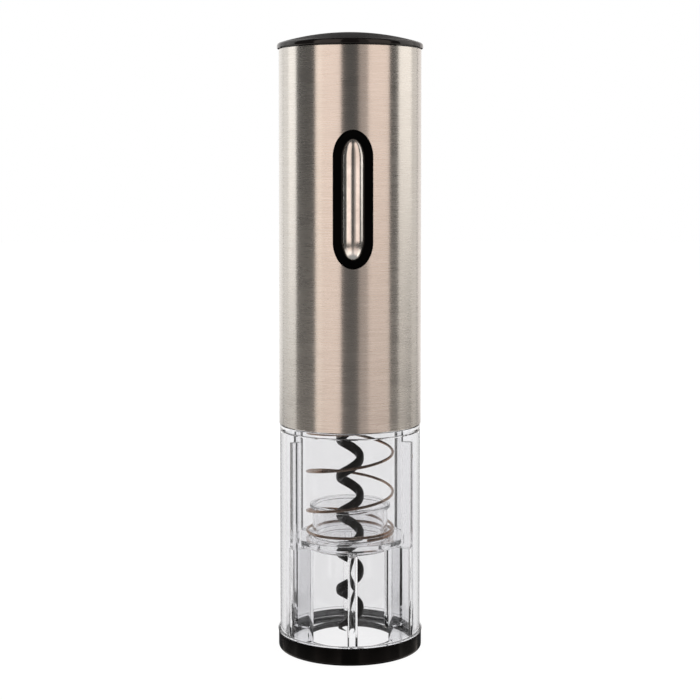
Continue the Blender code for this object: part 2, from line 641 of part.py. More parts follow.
def cells(cell_finish, cradle_finish, board_finish, steel):
    """Four cells in a cradle, standing on their lower contacts and board."""
    for k, (x, y) in enumerate(((-1, -1), (1, -1), (1, 1), (-1, 1))):
        shell = CELL_LENGTH - CELL_STUD_HEIGHT
        profile = [(0, CELL_LENGTH), (CELL_STUD_RADIUS, CELL_LENGTH), (CELL_STUD_RADIUS, shell),
                   (CELL_RADIUS, shell), (CELL_RADIUS, 0), (0, 0)]
        if k % 2:  # every other cell stands on its stud
            profile = [(r, CELL_LENGTH - z) for r, z in reversed(profile)]
        cell = turned(f"battery_{k + 1}", [(r, CELL_Z + z) for r, z in profile], MEDIUM, cell_finish)
        cell.location = (x * CELL_OFFSET, y * CELL_OFFSET, 0)
    outer = CRADLE_BORE + CRADLE_WALL
    cradle = rod("battery_cradle", outer, LOWER_PLATE_Z, CELL_TOP - CONTACT_BOSS, LARGE, cradle_finish,
                 ring_bore=CRADLE_BORE)
    half_width = SWITCH_BOARD_HALF_WIDTH + 3 * GAP
    window = box("cradle_window", (-half_width, -2 * outer, 0),
                 (half_width, -CELL_OFFSET, SWITCH_Z + SWITCH_BOARD_HALF_HEIGHT + 3 * GAP))
    boolean(cradle, window, "DIFFERENCE")
    board = rod("lower_contact_board", CHASSIS_BORE - GAP, LOWER_BOARD_Z, LOWER_BOARD_Z + CONTACT_BOARD,
                LARGE, board_finish)
    clear = box("board_flat", (-2 * outer, -2 * SLEEVE_RADIUS, 0), (2 * outer, -BOARD_BACK + GAP, SLEEVE_TOP))
    boolean(board, clear, "DIFFERENCE")
    for k, side in enumerate((-1, 1)):
        contact(f"lower_contact_{k + 1}", (side * CELL_OFFSET, 0), False, LOWER_PLATE_Z, 1, steel)


def planet_set(label, low, finish):
    """Three planets on their pins' places, in mesh with the ring gear and the sun."""
    for k in range(PLANETS):
        orbit = TURN * k / PLANETS
        rolled = orbit * (1 - RING_TEETH / PLANET_TEETH)
        at = (ORBIT * math.cos(orbit), ORBIT * math.sin(orbit), low + GEAR_WIDTH / 2)
        outline(f"{label}_planet_gear_{k + 1}", [gear(PLANET_TEETH, rolled), circle(PIN_RADIUS + GAP, SMALL)],
                GEAR_WIDTH, at, finish)


def carrier(name, low, finish, spindle_low=None):
    """A carrier plate with a pin for each planet, and the output spindle below it if it has one."""
    top = low + CARRIER_THICKNESS
    if spindle_low is None:
        plate = rod(name, CARRIER_RADIUS, low, top, MEDIUM, finish, ring_bore=SHAFT_RADIUS + GAP)
    else:
        profile = [(0, top), (CARRIER_RADIUS, top), (CARRIER_RADIUS, low), (SPINDLE_RADIUS, low),
                   (SPINDLE_RADIUS, spindle_low), (0, spindle_low)]
        plate = turned(name, profile, MEDIUM, finish)
    for k, at in enumerate(around(PLANETS, ORBIT)):
        root = low + CARRIER_THICKNESS / 2
        pin = rod(f"{name}_pin_{k + 1}", PIN_RADIUS, root, top + GEAR_WIDTH, SMALL, at=at)
        boolean(plate, pin, "UNION")


def gearbox(case_finish, gear_finish, steel):
    """The ring gear between two plates, two planet stages and the screws that hold them."""
    places = around(3, GEARBOX_SCREW_CIRCLE, math.pi / 3)
    clear = SMALL_SCREW_RADIUS + GAP
    middle = RING_Z + GEARBOX_LENGTH / 2
    first_gap = math.pi / RING_TEETH
    ways = [[(x + a, y + b) for a, b in circle(clear, SMALL)] for x, y in places]
    loops = [circle(GEARBOX_RADIUS, LARGE), gear(RING_TEETH, first_gap, inward=True), *ways]
    ring = outline("gearbox_ring_gear", loops, GEARBOX_LENGTH, (0, 0, middle), case_finish)
    ring.data.set_sharp_from_angle(angle=math.radians(20))
    bush_seat = SPINDLE_RADIUS + GAP + BUSH_WALL
    end = rod("gearbox_end_plate", GEARBOX_RADIUS, GEARBOX_Z, GEARBOX_Z + END_PLATE, LARGE, case_finish,
              ring_bore=bush_seat + GAP)
    holes(end, places, clear, GEARBOX_Z - GAP, RING_Z, "end_screw_way")
    rod("spindle_bush", bush_seat, GEARBOX_Z, GEARBOX_Z + END_PLATE, MEDIUM, steel,
        ring_bore=SPINDLE_RADIUS + GAP)
    top = rod("gearbox_top_plate", GEARBOX_RADIUS, TOP_PLATE_Z, TOP_PLATE_Z + TOP_PLATE, LARGE, steel,
              ring_bore=MOTOR_BOSS + GAP)
    holes(top, places, clear, TOP_PLATE_Z - GAP, MOTOR_Z, "top_screw_way")
    seat = MOTOR_Z
    for k, at in enumerate(places):
        screw_down(f"gearbox_screw_{k + 1}", at, seat, seat - GEARBOX_Z - GAP, steel, SMALL_SCREW_RADIUS,
                   SMALL_HEAD_RADIUS)
    carrier("output_carrier", LOW_CARRIER_Z, steel, spindle_low=GEARBOX_Z)
    planet_set("low", LOW_GEAR_Z, gear_finish)
    carrier("first_carrier", HIGH_CARRIER_Z, steel)
    planet_set("high", HIGH_GEAR_Z, gear_finish)
    outline("second_sun_gear", [gear(SUN_TEETH, 0.0), circle(SHAFT_RADIUS + GAP, SMALL)], GEAR_WIDTH,
            (0, 0, LOW_GEAR_Z + GEAR_WIDTH / 2), steel)
    outline("motor_pinion", [gear(SUN_TEETH, 0.0), circle(SHAFT_RADIUS + GAP, SMALL)], GEAR_WIDTH,
            (0, 0, HIGH_GEAR_Z + GEAR_WIDTH / 2), steel)


def motor(steel, plastic, dark, lead_finishes):
    """The motor's can, end cap and turning armature, two screws and two leads."""
    boss_low = TOP_PLATE_Z + GAP
    bearing = SHAFT_RADIUS + GAP
    can_bore = MOTOR_RADIUS - MOTOR_WALL
    can_top = MOTOR_Z + MOTOR_LENGTH
    profile = [(MOTOR_RADIUS, can_top), (MOTOR_RADIUS, MOTOR_Z), (MOTOR_BOSS, MOTOR_Z),
               (MOTOR_BOSS, boss_low), (bearing, boss_low), (bearing, MOTOR_Z + MOTOR_WALL),
               (can_bore, MOTOR_Z + MOTOR_WALL), (can_bore, can_top)]
    can = turned("motor_can", profile, MEDIUM, steel, ring=True)
    screw_circle = (MOTOR_BOSS + MOTOR_RADIUS) / 2
    places = around(2, screw_circle, math.pi / 6)
    holes(can, places, SMALL_SCREW_RADIUS + GAP, MOTOR_Z - GAP, MOTOR_Z + MOTOR_WALL + GAP, "can_screw_way")
    holes(bpy.data.objects["gearbox_top_plate"], places, SMALL_SCREW_RADIUS + GAP, TOP_PLATE_Z - GAP, MOTOR_Z,
          "motor_screw_way")
    for k, at in enumerate(places):
        screw_down(f"motor_screw_{k + 1}", at, TOP_PLATE_Z, TOP_PLATE + MOTOR_WALL + 3 * GAP, steel,
                   SMALL_SCREW_RADIUS, SMALL_HEAD_RADIUS, up=True)
    crown = MOTOR_CAP_Z + MOTOR_CAP
    profile = [(0, crown), (MOTOR_BOSS, crown), (MOTOR_RADIUS, crown - GAP * 3), (MOTOR_RADIUS, MOTOR_CAP_Z),
               (bearing, MOTOR_CAP_Z), (bearing, crown - MOTOR_WALL), (0, crown - MOTOR_WALL)]
    turned("motor_end_cap", profile, MEDIUM, plastic)
    core_low = MOTOR_Z + (MOTOR_LENGTH - CORE_LENGTH) / 3
    core_top = core_low + CORE_LENGTH
    commutator = 2.5 * SHAFT_RADIUS
    profile = [(0, crown - MOTOR_WALL - GAP), (SHAFT_RADIUS, crown - MOTOR_WALL - GAP),
               (SHAFT_RADIUS, MOTOR_CAP_Z - GAP), (commutator, MOTOR_CAP_Z - GAP), (commutator, core_top),
               (CORE_RADIUS, core_top), (CORE_RADIUS, core_low), (SHAFT_RADIUS, core_low),
               (SHAFT_RADIUS, HIGH_GEAR_Z), (0, HIGH_GEAR_Z)]
    turned("motor_armature", profile, MEDIUM, dark)
    for (name, finish), side in zip(lead_finishes, (-1, 1)):
        rise = crown + GAP
        over = rise + LEAD_RISE
        end = BOARD_BACK - GAP
        near, far = side * LEAD_SPREAD, side * LEAD_END_SPREAD
        knots = [Vector((near, -LEAD_START, rise)), Vector((near, -LEAD_START, over)),
                 Vector((far, -end / 2, over)), Vector((far, -end, rise))]
        points = []
        for k in range(13):
            t = k / 12
            points.append(sum((knot * math.comb(3, j) * t ** j * (1 - t) ** (3 - j)
                               for j, knot in enumerate(knots)), Vector()))
        wire(name, points, [1.0] * len(points), LEAD_RADIUS, finish)


def switch(button_finish, plastic, board_finish, case_finish, plunger_finish):
    """The rocker button in its bezel, and the two switches behind its ends on their board."""
    half_width = BUTTON_HALF_WIDTH + BUTTON_CLEARANCE
    half_height = BUTTON_HALF_HEIGHT + BUTTON_CLEARANCE
    back = SLEEVE_RADIUS - BEZEL_BACK
    rim = long_slot(BEZEL_HALF_WIDTH, BEZEL_HALF_HEIGHT, BUTTON_END + BEZEL_END)
    flange = long_slot(BEZEL_HALF_WIDTH + BEZEL_FLANGE, BEZEL_HALF_HEIGHT + BEZEL_FLANGE,
                       BUTTON_END + BEZEL_END + BEZEL_FLANGE)
    deep = SLEEVE_RADIUS
    at = (0, -back - deep / 2, SWITCH_Z)
    bezel = outline("switch_bezel", [flange], deep, at, plastic, facing_front=True)
    low, high = SWITCH_Z - 2 * BEZEL_HALF_HEIGHT, SWITCH_Z + 2 * BEZEL_HALF_HEIGHT
    boolean(bezel, rod("bezel_seat", SLEEVE_BORE - GAP, low, high, LARGE), "INTERSECT")
    front = outline("bezel_front", [rim], deep, (0, -back - deep / 2 - GAP, SWITCH_Z), facing_front=True)
    boolean(front, rod("bezel_face", SLEEVE_RADIUS - GAP, low, high, LARGE), "INTERSECT")
    boolean(bezel, front, "UNION")
    opening = long_slot(half_width, half_height, BUTTON_END + BUTTON_CLEARANCE)
    through = outline("bezel_opening", [opening], 4 * deep, (0, -back, SWITCH_Z), facing_front=True)
    boolean(bezel, through, "DIFFERENCE")
    axle = TRUNNION_RADIUS + GAP
    reach = half_width + TRUNNION_LENGTH
    slot = box("trunnion_slot", (-reach, HINGE_Y - axle, SWITCH_Z - axle),
               (reach, -back + GAP, SWITCH_Z + axle))
    boolean(bezel, slot, "DIFFERENCE")

    shape = long_slot(BUTTON_HALF_WIDTH, BUTTON_HALF_HEIGHT, BUTTON_END)
    button = outline("rocker_button", [shape], BUTTON_DEPTH,
                     (0, -(BUTTON_FRONT + BUTTON_BACK) / 2, SWITCH_Z), button_finish, facing_front=True)
    button.data.transform(button.matrix_world)
    button.matrix_world = Matrix.Identity(4)
    bm = bmesh.new()
    bm.from_mesh(button.data)
    rim_edges = [e for e in bm.edges if all(v.co.y < -BUTTON_FRONT + MERGE for v in e.verts)
                 and any(abs(f.normal.y) < 0.5 for f in e.link_faces)]
    bmesh.ops.bevel(bm, geom=rim_edges, offset=BUTTON_EDGE, segments=3, profile=0.5, affect="EDGES",
                    clamp_overlap=True)
    bm.to_mesh(button.data)
    bm.free()
    pin = outline("trunnion", [circle(TRUNNION_RADIUS, SMALL)], 2 * (reach - GAP), (0, HINGE_Y, SWITCH_Z))
    pin.rotation_euler = (0, math.pi / 2, 0)
    boolean(button, pin, "UNION")
    move_origin(button, (0, HINGE_Y, SWITCH_Z))

    box("switch_circuit_board", (-SWITCH_BOARD_HALF_WIDTH, -BOARD_FRONT, SWITCH_Z - SWITCH_BOARD_HALF_HEIGHT),
        (SWITCH_BOARD_HALF_WIDTH, -BOARD_BACK, SWITCH_Z + SWITCH_BOARD_HALF_HEIGHT), board_finish)
    half_case = SWITCH_CASE / 2
    for name, side in (("upper", 1), ("lower", -1)):
        z = SWITCH_Z + side * PLUNGER_OFFSET
        case = box(f"{name}_switch_case", (-half_case, -CASE_FRONT, z - half_case),
                   (half_case, -CASE_FRONT + SWITCH_CASE_DEPTH, z + half_case), case_finish)
        depth = PLUNGER_LENGTH + GAP
        well = outline(f"{name}_well", [circle(PLUNGER_RADIUS + GAP, SMALL)], 2 * depth,
                       (0, -PLUNGER_FRONT, z), facing_front=True)
        boolean(case, well, "DIFFERENCE")
        length = PLUNGER_LENGTH - PLUNGER_TRAVEL
        outline(f"{name}_switch_plunger", [circle(PLUNGER_RADIUS, SMALL)], length,
                (0, -PLUNGER_FRONT + length / 2, z), plunger_finish, facing_front=True)


def build():
    """Make every piece."""
    start()
    steel = material("brushed_stainless_steel", (0.62, 0.58, 0.54), 0.32, 1.0)
    plated = material("zinc_plated_steel", (0.66, 0.66, 0.64), 0.35, 1.0)
    spring_steel = material("spring_steel", (0.55, 0.52, 0.48), 0.25, 1.0)
    chrome = material("satin_plated_button", (0.70, 0.70, 0.70), 0.25, 1.0)
    clear = material("clear_polycarbonate", (0.92, 0.94, 0.95), 0.05, alpha=0.35)
    black = material("gloss_black_abs", (0.012, 0.012, 0.013), 0.15)
    frame = material("grey_abs", (0.12, 0.12, 0.13), 0.55)
    coated = material("black_coated_steel", (0.015, 0.015, 0.016), 0.30, 0.4)
    acetal = material("white_acetal", (0.80, 0.80, 0.76), 0.45)
    board = material("green_glass_epoxy", (0.03, 0.20, 0.08), 0.50)
    cell = material("cell_jacket", (0.05, 0.09, 0.20), 0.35, 0.3)
    dark = material("varnished_iron", (0.10, 0.08, 0.07), 0.50, 0.6)
    red = material("red_wire_sheath", (0.45, 0.02, 0.02), 0.50)
    sheath = material("black_wire_sheath", (0.02, 0.02, 0.02), 0.50)
    base(black)
    guide(clear)
    cup(clear)
    spring(spring_steel)
    worm(coated, plated)
    bulkhead(frame, plated)
    chassis(frame)
    sleeve(steel)
    cap(black, board, plated)
    cells(cell, frame, board, plated)
    gearbox(frame, acetal, plated)
    motor(plated, frame, dark, (("motor_lead_red", red), ("motor_lead_black", sheath)))
    switch(chrome, black, board, frame, acetal)


build()
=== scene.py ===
"""Looks of an electric wine opener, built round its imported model.

A brushed steel sleeve with a domed black cap and a rocker switch stands on a clear guide. Inside
the guide are the worm, the return spring and the clear cup that the cork passes through. Units are
metres, +Z is up, the origin is the middle of the base, and the switch faces -Y.
"""
from __future__ import annotations

import json
import logging
import math
from contextlib import contextmanager
from dataclasses import dataclass
from enum import Enum
from typing import Any, Callable, Iterator, Sequence

import bpy
from bpy.types import Curve, Light, Material, Node, NodeSocket, NodeTree, Object
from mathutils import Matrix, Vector


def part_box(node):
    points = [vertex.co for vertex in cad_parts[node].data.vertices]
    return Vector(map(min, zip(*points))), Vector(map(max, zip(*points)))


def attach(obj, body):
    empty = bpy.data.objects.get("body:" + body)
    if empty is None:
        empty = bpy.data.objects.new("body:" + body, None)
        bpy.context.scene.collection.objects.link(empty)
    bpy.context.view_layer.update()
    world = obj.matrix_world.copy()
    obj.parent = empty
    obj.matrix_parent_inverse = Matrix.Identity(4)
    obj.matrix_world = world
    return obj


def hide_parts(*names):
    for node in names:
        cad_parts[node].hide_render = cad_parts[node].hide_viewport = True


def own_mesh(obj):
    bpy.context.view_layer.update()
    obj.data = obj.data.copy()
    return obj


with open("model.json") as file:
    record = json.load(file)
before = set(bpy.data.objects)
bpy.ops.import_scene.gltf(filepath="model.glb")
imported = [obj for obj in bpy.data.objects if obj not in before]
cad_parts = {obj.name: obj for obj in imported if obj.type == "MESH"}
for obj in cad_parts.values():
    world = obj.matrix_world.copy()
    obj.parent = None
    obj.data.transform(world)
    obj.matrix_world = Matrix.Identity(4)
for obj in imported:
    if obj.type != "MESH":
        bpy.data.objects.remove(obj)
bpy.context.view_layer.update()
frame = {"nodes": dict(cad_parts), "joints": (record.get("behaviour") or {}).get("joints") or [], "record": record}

MM = 0.001
TURN = 2 * math.pi
MERGE = 0.001 * MM
SMOOTH_ANGLE = math.radians(35)
ARC_STEPS = 5
MIDDLE = (0.3, 0.7)  # between which nearly all of a noise lies

log = logging.getLogger("wine_opener")


class Body(Enum):
    """The bodies that pieces ride on."""

    OPENER = "opener_body"
    CAP = "cap"
    ROCKER = "rocker"
    CUP = "cup"
    SPINDLE = "spindle"


class Slot(Enum):
    """The record's material slots."""

    BRUSHED_STEEL = "brushed_stainless_steel"
    ZINC = "zinc_plated_steel"
    SPRING_STEEL = "spring_steel"
    BUTTON = "satin_plated_button"
    CLEAR = "clear_polycarbonate"
    GLOSS_BLACK = "gloss_black_abs"
    GREY = "grey_abs"
    COATED_STEEL = "black_coated_steel"
    ACETAL = "white_acetal"
    BOARD = "green_glass_epoxy"
    JACKET = "cell_jacket"
    IRON = "varnished_iron"
    RED_WIRE = "red_wire_sheath"
    BLACK_WIRE = "black_wire_sheath"


# ---------------------------------------------------------------- finishes


def linear(colour: str) -> tuple[float, float, float, float]:
    """Turn an sRGB hex colour into a linear one.

    Args:
        colour: six hex digits.

    Returns:
        Red, green and blue from 0 to 1, and an alpha of 1.
    """
    parts = [int(colour[k:k + 2], 16) / 255 for k in (0, 2, 4)]
    red, green, blue = [c / 12.92 if c <= 0.04045 else ((c + 0.055) / 1.055) ** 2.4 for c in parts]
    return red, green, blue, 1.0


def add_node(tree: NodeTree, kind: str, inputs: dict[Any, Any] | None = None,
             **settings: Any) -> Node:
    """Add a node, with its settings, values and links.

    Args:
        tree: the node tree it goes in.
        kind: the node's type name.
        inputs: a value, or a socket or node to link from, for each input that isn't left alone.
        **settings: the node's own properties.

    Returns:
        The node.
    """
    node = tree.nodes.new(kind)
    for key, value in settings.items():
        setattr(node, key, value)
    for key, value in (inputs or {}).items():
        if isinstance(value, Node):
            tree.links.new(value.outputs[0], node.inputs[key])
        elif isinstance(value, NodeSocket):
            tree.links.new(value, node.inputs[key])
        else:
            node.inputs[key].default_value = value
    return node


def add_noise(tree: NodeTree, size: tuple[float, float, float], detail: float = 2.0) -> Node:
    """Add noise on the piece's own coordinates.

    Args:
        tree: the node tree it goes in.
        size: how long a grain is along X, Y and Z.
        detail: how much finer structure it has.

    Returns:
        The noise node, whose first output is its value.
    """
    place = add_node(tree, "ShaderNodeTexCoord")
    scaled = add_node(tree, "ShaderNodeMapping", {"Vector": place.outputs["Object"],
                                                  "Scale": tuple(1 / side for side in size)})
    return add_node(tree, "ShaderNodeTexNoise", {"Vector": scaled, "Scale": 1.0, "Detail": detail})


@dataclass(frozen=True)
class Finish:
    """A real material and how its surface was made.

    Each finish says its colour, roughness and metallic value, and draws its own detail.
    """

    name: str
    colour: str
    roughness: float
    metallic: float = 0.0

    def material(self) -> Material:
        """Make the material the first time it is asked for, and give the same one after that."""
        if self.name in bpy.data.materials:
            return bpy.data.materials[self.name]
        made = bpy.data.materials.new(self.name)
        made.use_nodes = True
        tree = made.node_tree
        tree.nodes.clear()
        shader = add_node(tree, "ShaderNodeBsdfPrincipled", {
            "Base Color": linear(self.colour), "Roughness": self.roughness, "Metallic": self.metallic})
        self.detail(tree, shader)
        add_node(tree, "ShaderNodeOutputMaterial", {"Surface": self.surface(tree, shader)})
        made.diffuse_color = linear(self.colour)
        return made

    def detail(self, tree: NodeTree, shader: Node) -> None:
        """Draw the surface's pattern. Each kind of finish has its own."""
        raise NotImplementedError

    def lay(self, tree: NodeTree, shader: Node, relief: tuple[Any, float, float],
            tone: tuple[Any, float, float, str] | None = None,
            sheen: tuple[Any, float, float] | None = None, span: tuple[float, float] = MIDDLE) -> None:
        """Lay patterns on the surface, in its height, its colour and its roughness.

        Args:
            tree: the material's node tree.
            shader: its shader.
            relief: the pattern of the height, how strongly it shows and how deep it is.
            tone: the pattern of the colour, its values at the finish's own colour and at a second
                one, and that second colour.
            sheen: the pattern of the roughness, and the roughness at the two ends of its span.
            span: the sheen pattern's lowest and highest values.
        """
        height, strength, depth = relief
        links = {"Normal": add_node(tree, "ShaderNodeBump", {"Height": height, "Strength": strength,
                                                             "Distance": depth})}
        if tone:
            share = add_node(tree, "ShaderNodeMapRange", {"Value": tone[0], "From Min": tone[1],
                                                          "From Max": tone[2]})
            mix = add_node(tree, "ShaderNodeMix", {0: share, 6: linear(self.colour), 7: linear(tone[3])},
                           data_type="RGBA")
            links["Base Color"] = mix.outputs[2]
        if sheen:
            links["Roughness"] = add_node(tree, "ShaderNodeMapRange", {
                "Value": sheen[0], "From Min": span[0], "From Max": span[1], "To Min": sheen[1],
                "To Max": sheen[2]})
        connect(tree, shader, links)

    def surface(self, tree: NodeTree, shader: Node) -> Node:
        """Give the shader that the surface shows."""
        return shader


def connect(tree: NodeTree, shader: Node, links: dict[str, Any]) -> None:
    """Link sockets or nodes to a shader's inputs by name."""
    for key, value in links.items():
        source = value.outputs[0] if isinstance(value, Node) else value
        tree.links.new(source, shader.inputs[key])


@dataclass(frozen=True)
class BrushedSteel(Finish):
    """Stainless steel brushed round its axis: fine level lines that smear a light up and down."""

    line: float = 0.25 * MM  # coarser than the real 0.05 mm, so that the lines still show
    run: float = 9.0 * MM
    pale: str = "d6d2cc"
    depth: float = 0.001 * MM
    uneven: float = 0.02
    both_span: tuple[float, float] = (0.7, 1.3)  # of two noises added

    def detail(self, tree: NodeTree, shader: Node) -> None:
        """Draw the brush lines in colour, roughness and height."""
        lines = add_noise(tree, (self.run, self.run, self.line), detail=4.0)
        cloud = add_noise(tree, (14 * MM, 14 * MM, 5 * MM))
        both = add_node(tree, "ShaderNodeMath", {0: lines, 1: cloud}, operation="ADD")
        self.lay(tree, shader, (lines, 0.3, self.depth), (lines, *MIDDLE, self.pale),
                 (both, self.roughness - self.uneven, self.roughness + self.uneven), self.both_span)
        around = add_node(tree, "ShaderNodeTangent", direction_type="RADIAL", axis="Z")
        connect(tree, shader, {"Tangent": around})
        shader.inputs["Anisotropic"].default_value = 0.9
        shader.inputs["Anisotropic Rotation"].default_value = 0.25


@dataclass(frozen=True)
class SatinMetal(Finish):
    """Metal with a fine all-over grain, such as a satin plated button, a zinc plated or a drawn part."""

    grain: float = 0.3 * MM
    pale: str = "e4e2de"
    depth: float = 0.002 * MM

    def detail(self, tree: NodeTree, shader: Node) -> None:
        """Draw a light grain and slow changes of tone."""
        grain = add_noise(tree, (self.grain,) * 3, detail=3.0)
        cloud = add_noise(tree, (self.grain * 20,) * 3)
        self.lay(tree, shader, (grain, 0.4, self.depth), (cloud, *MIDDLE, self.pale),
                 (grain, self.roughness - 0.03, self.roughness + 0.05))


@dataclass(frozen=True)
class MouldedPlastic(Finish):
    """Injection moulded plastic: the mould's texture, and a slow unevenness in its shine."""

    grain: float = 0.4 * MM
    depth: float = 0.01 * MM
    pale: str = "2a2a2c"
    shine: float = 0.5

    def detail(self, tree: NodeTree, shader: Node) -> None:
        """Draw the mould's texture and the uneven shine."""
        grain = add_noise(tree, (self.grain,) * 3)
        cloud = add_noise(tree, (self.grain * 25,) * 3, detail=3.0)
        self.lay(tree, shader, (grain, 0.35, self.depth), (cloud, *MIDDLE, self.pale),
                 (cloud, self.roughness * 0.85, self.roughness * 1.2))
        shader.inputs["Specular IOR Level"].default_value = self.shine


@dataclass(frozen=True)
class EtchedPlastic(MouldedPlastic):
    """Moulded plastic from a mould that is etched above a level and polished below it."""

    level: float = 0.0
    polish: float = 0.1
    fade: float = 0.15 * MM

    def detail(self, tree: NodeTree, shader: Node) -> None:
        """Draw the plastic, and make what is below the level smoother."""
        super().detail(tree, shader)
        place = add_node(tree, "ShaderNodeTexCoord")
        height = add_node(tree, "ShaderNodeSeparateXYZ", {0: place.outputs["Object"]}).outputs["Z"]
        edge = {"Value": height, "From Min": self.level - self.fade, "From Max": self.level + self.fade}
        etched = shader.inputs["Roughness"].links[0].from_socket
        rough = add_node(tree, "ShaderNodeMapRange", {**edge, "To Min": self.polish, "To Max": etched})
        connect(tree, shader, {"Roughness": rough})


@dataclass(frozen=True)
class ClearPlastic(Finish):
    """Clear moulded polycarbonate: polished, with faint flow waves that bend what is behind it."""

    wave: float = 9.0 * MM
    depth: float = 0.008 * MM
    passes: str = "f4f6f8"

    def detail(self, tree: NodeTree, shader: Node) -> None:
        """Draw the flow waves and a slight unevenness in the polish."""
        waves = add_noise(tree, (self.wave, self.wave, self.wave * 3), detail=1.0)
        haze = add_noise(tree, (3 * MM,) * 3)
        self.lay(tree, shader, (waves, 0.25, self.depth),
                 sheen=(haze, self.roughness * 0.5, self.roughness * 1.5))
        shader.inputs["Transmission Weight"].default_value = 1.0
        shader.inputs["IOR"].default_value = 1.57

    def surface(self, tree: NodeTree, shader: Node) -> Node:
        """Let lamps shine straight through, so that what is inside is lit."""
        path = add_node(tree, "ShaderNodeLightPath")
        through = add_node(tree, "ShaderNodeBsdfTransparent", {"Color": linear(self.passes)})
        return add_node(tree, "ShaderNodeMixShader", {0: path.outputs["Is Shadow Ray"], 1: shader,
                                                      2: through})


@dataclass(frozen=True)
class DrawnWire(Finish):
    """Polished spring wire with the straw and brown tints that heat treatment leaves."""

    tint: str = "8d6f5c"
    patch: float = 7.0 * MM

    def detail(self, tree: NodeTree, shader: Node) -> None:
        """Draw the heat tints and fine drawing marks."""
        patches = add_noise(tree, (self.patch,) * 3, detail=1.5)
        marks = add_noise(tree, (0.25 * MM,) * 3, detail=3.0)
        self.lay(tree, shader, (marks, 0.3, 0.003 * MM), (patches, *MIDDLE, self.tint),
                 (marks, self.roughness - 0.05, self.roughness + 0.08))


@dataclass(frozen=True)
class NonStickCoating(Finish):
    """A black non-stick coat sprayed on steel: satin, with a fine pebble and a few paler rubs."""

    pebble: float = 0.35 * MM
    rub: str = "29292b"

    def detail(self, tree: NodeTree, shader: Node) -> None:
        """Draw the pebble and the rubs."""
        pebble = add_noise(tree, (self.pebble,) * 3, detail=3.0)
        rubs = add_noise(tree, (2.2 * MM, 2.2 * MM, 4.0 * MM), detail=3.0)
        self.lay(tree, shader, (pebble, 0.5, 0.012 * MM), (rubs, 0.56, 0.72, self.rub),
                 (rubs, self.roughness + 0.06, self.roughness - 0.08))
        shader.inputs["Specular IOR Level"].default_value = 0.14


@dataclass(frozen=True)
class CircuitBoard(Finish):
    """Glass epoxy under green solder resist, with the tracks showing through as paler lanes."""

    track: str = "2f7d45"
    lane: float = 2.5 * MM

    def detail(self, tree: NodeTree, shader: Node) -> None:
        """Draw the lanes and the weave."""
        place = add_node(tree, "ShaderNodeTexCoord")
        cells = add_node(tree, "ShaderNodeTexVoronoi", {"Vector": place.outputs["Object"],
                                                        "Scale": 1 / self.lane},
                         feature="DISTANCE_TO_EDGE", distance="EUCLIDEAN")
        weave = add_noise(tree, (0.3 * MM,) * 3)
        self.lay(tree, shader, (weave, 0.3, 0.01 * MM), (cells, 0.1, 0.06, self.track))


@dataclass(frozen=True)
class CellJacket(Finish):
    """A cell's shrunk film jacket: plain bands of colour, with no lettering."""

    band: str = "b08a3c"
    top: float = 0.0
    band_height: float = 14.0 * MM

    def detail(self, tree: NodeTree, shader: Node) -> None:
        """Draw the band at the cells' upper ends and the film's faint wrinkles."""
        place = add_node(tree, "ShaderNodeTexCoord")
        height = add_node(tree, "ShaderNodeSeparateXYZ", {0: place.outputs["Object"]}).outputs["Z"]
        above = add_node(tree, "ShaderNodeMath", {0: height, 1: self.top - self.band_height},
                         operation="GREATER_THAN")
        wrinkles = add_noise(tree, (2.0 * MM, 2.0 * MM, 12.0 * MM))
        self.lay(tree, shader, (wrinkles, 0.3, 0.04 * MM), (above, 0.0, 1.0, self.band))


@dataclass(frozen=True)
class LaminatedIron(Finish):
    """Stamped iron sheets in a stack, under brown varnish."""

    sheet: float = 0.5 * MM
    pale: str = "6b4a34"

    def detail(self, tree: NodeTree, shader: Node) -> None:
        """Draw the stack's level lines."""
        sheets = add_noise(tree, (40 * MM, 40 * MM, self.sheet))
        self.lay(tree, shader, (sheets, 0.6, 0.03 * MM), (sheets, *MIDDLE, self.pale))


# Rolled 304 stainless, brushed round: tall soft bands of light, crossed by fine level lines.
BRUSHED_STAINLESS = BrushedSteel("brushed_304_stainless", "c9c4bd", 0.27, 1.0)
# Pressed stainless, satin polished: a soft bright edge along each side of the button.
SATIN_STAINLESS = SatinMetal("satin_stainless_button", "cfcbc6", 0.20, 1.0)
# Steel under bright zinc: a cool, slightly cloudy shine on screws, plates and gears.
ZINC_PLATE = SatinMetal("bright_zinc_plated_steel", "b9bab6", 0.32, 1.0, pale="d0d1cd")
# Tempered steel wire: a thin bright line, warmed by brown heat tints.
SPRING_WIRE = DrawnWire("oil_tempered_spring_wire", "a79c92", 0.22, 1.0)
# Moulded polycarbonate: clear walls that show as thin grey and white edges.
CLEAR_POLYCARBONATE = ClearPlastic("clear_moulded_polycarbonate", "f7f7f8", 0.02)
# ABS from a polished mould: deep black with a narrow, weak highlight.
BLACK_GLOSS_ABS = MouldedPlastic("gloss_black_moulded_abs", "020202", 0.14, depth=0.003 * MM, pale="050505",
                                 shine=0.12)
# ABS from an etched mould: a soft grey bloom on the dome, over a polished rim.
CAP_ABS = EtchedPlastic("etched_black_moulded_abs", "131112", 0.36, depth=0.006 * MM, pale="1b1919",
                        shine=0.3, level=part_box("top_cap")[1].z - 3.9 * MM)
# Plain moulded ABS: matt dark grey, for what stays inside.
GREY_ABS = MouldedPlastic("grey_moulded_abs", "333336", 0.52, depth=0.02 * MM, pale="3e3e41")
# Steel under sprayed PTFE: near black, with a dull sheen and a few paler rubs.
WORM_COAT = NonStickCoating("black_ptfe_coated_steel", "070708", 0.44, 0.0)
# Moulded acetal: a waxy off-white on gears and plungers.
WHITE_ACETAL = MouldedPlastic("white_moulded_acetal", "e6e5df", 0.42, pale="dddcd5")
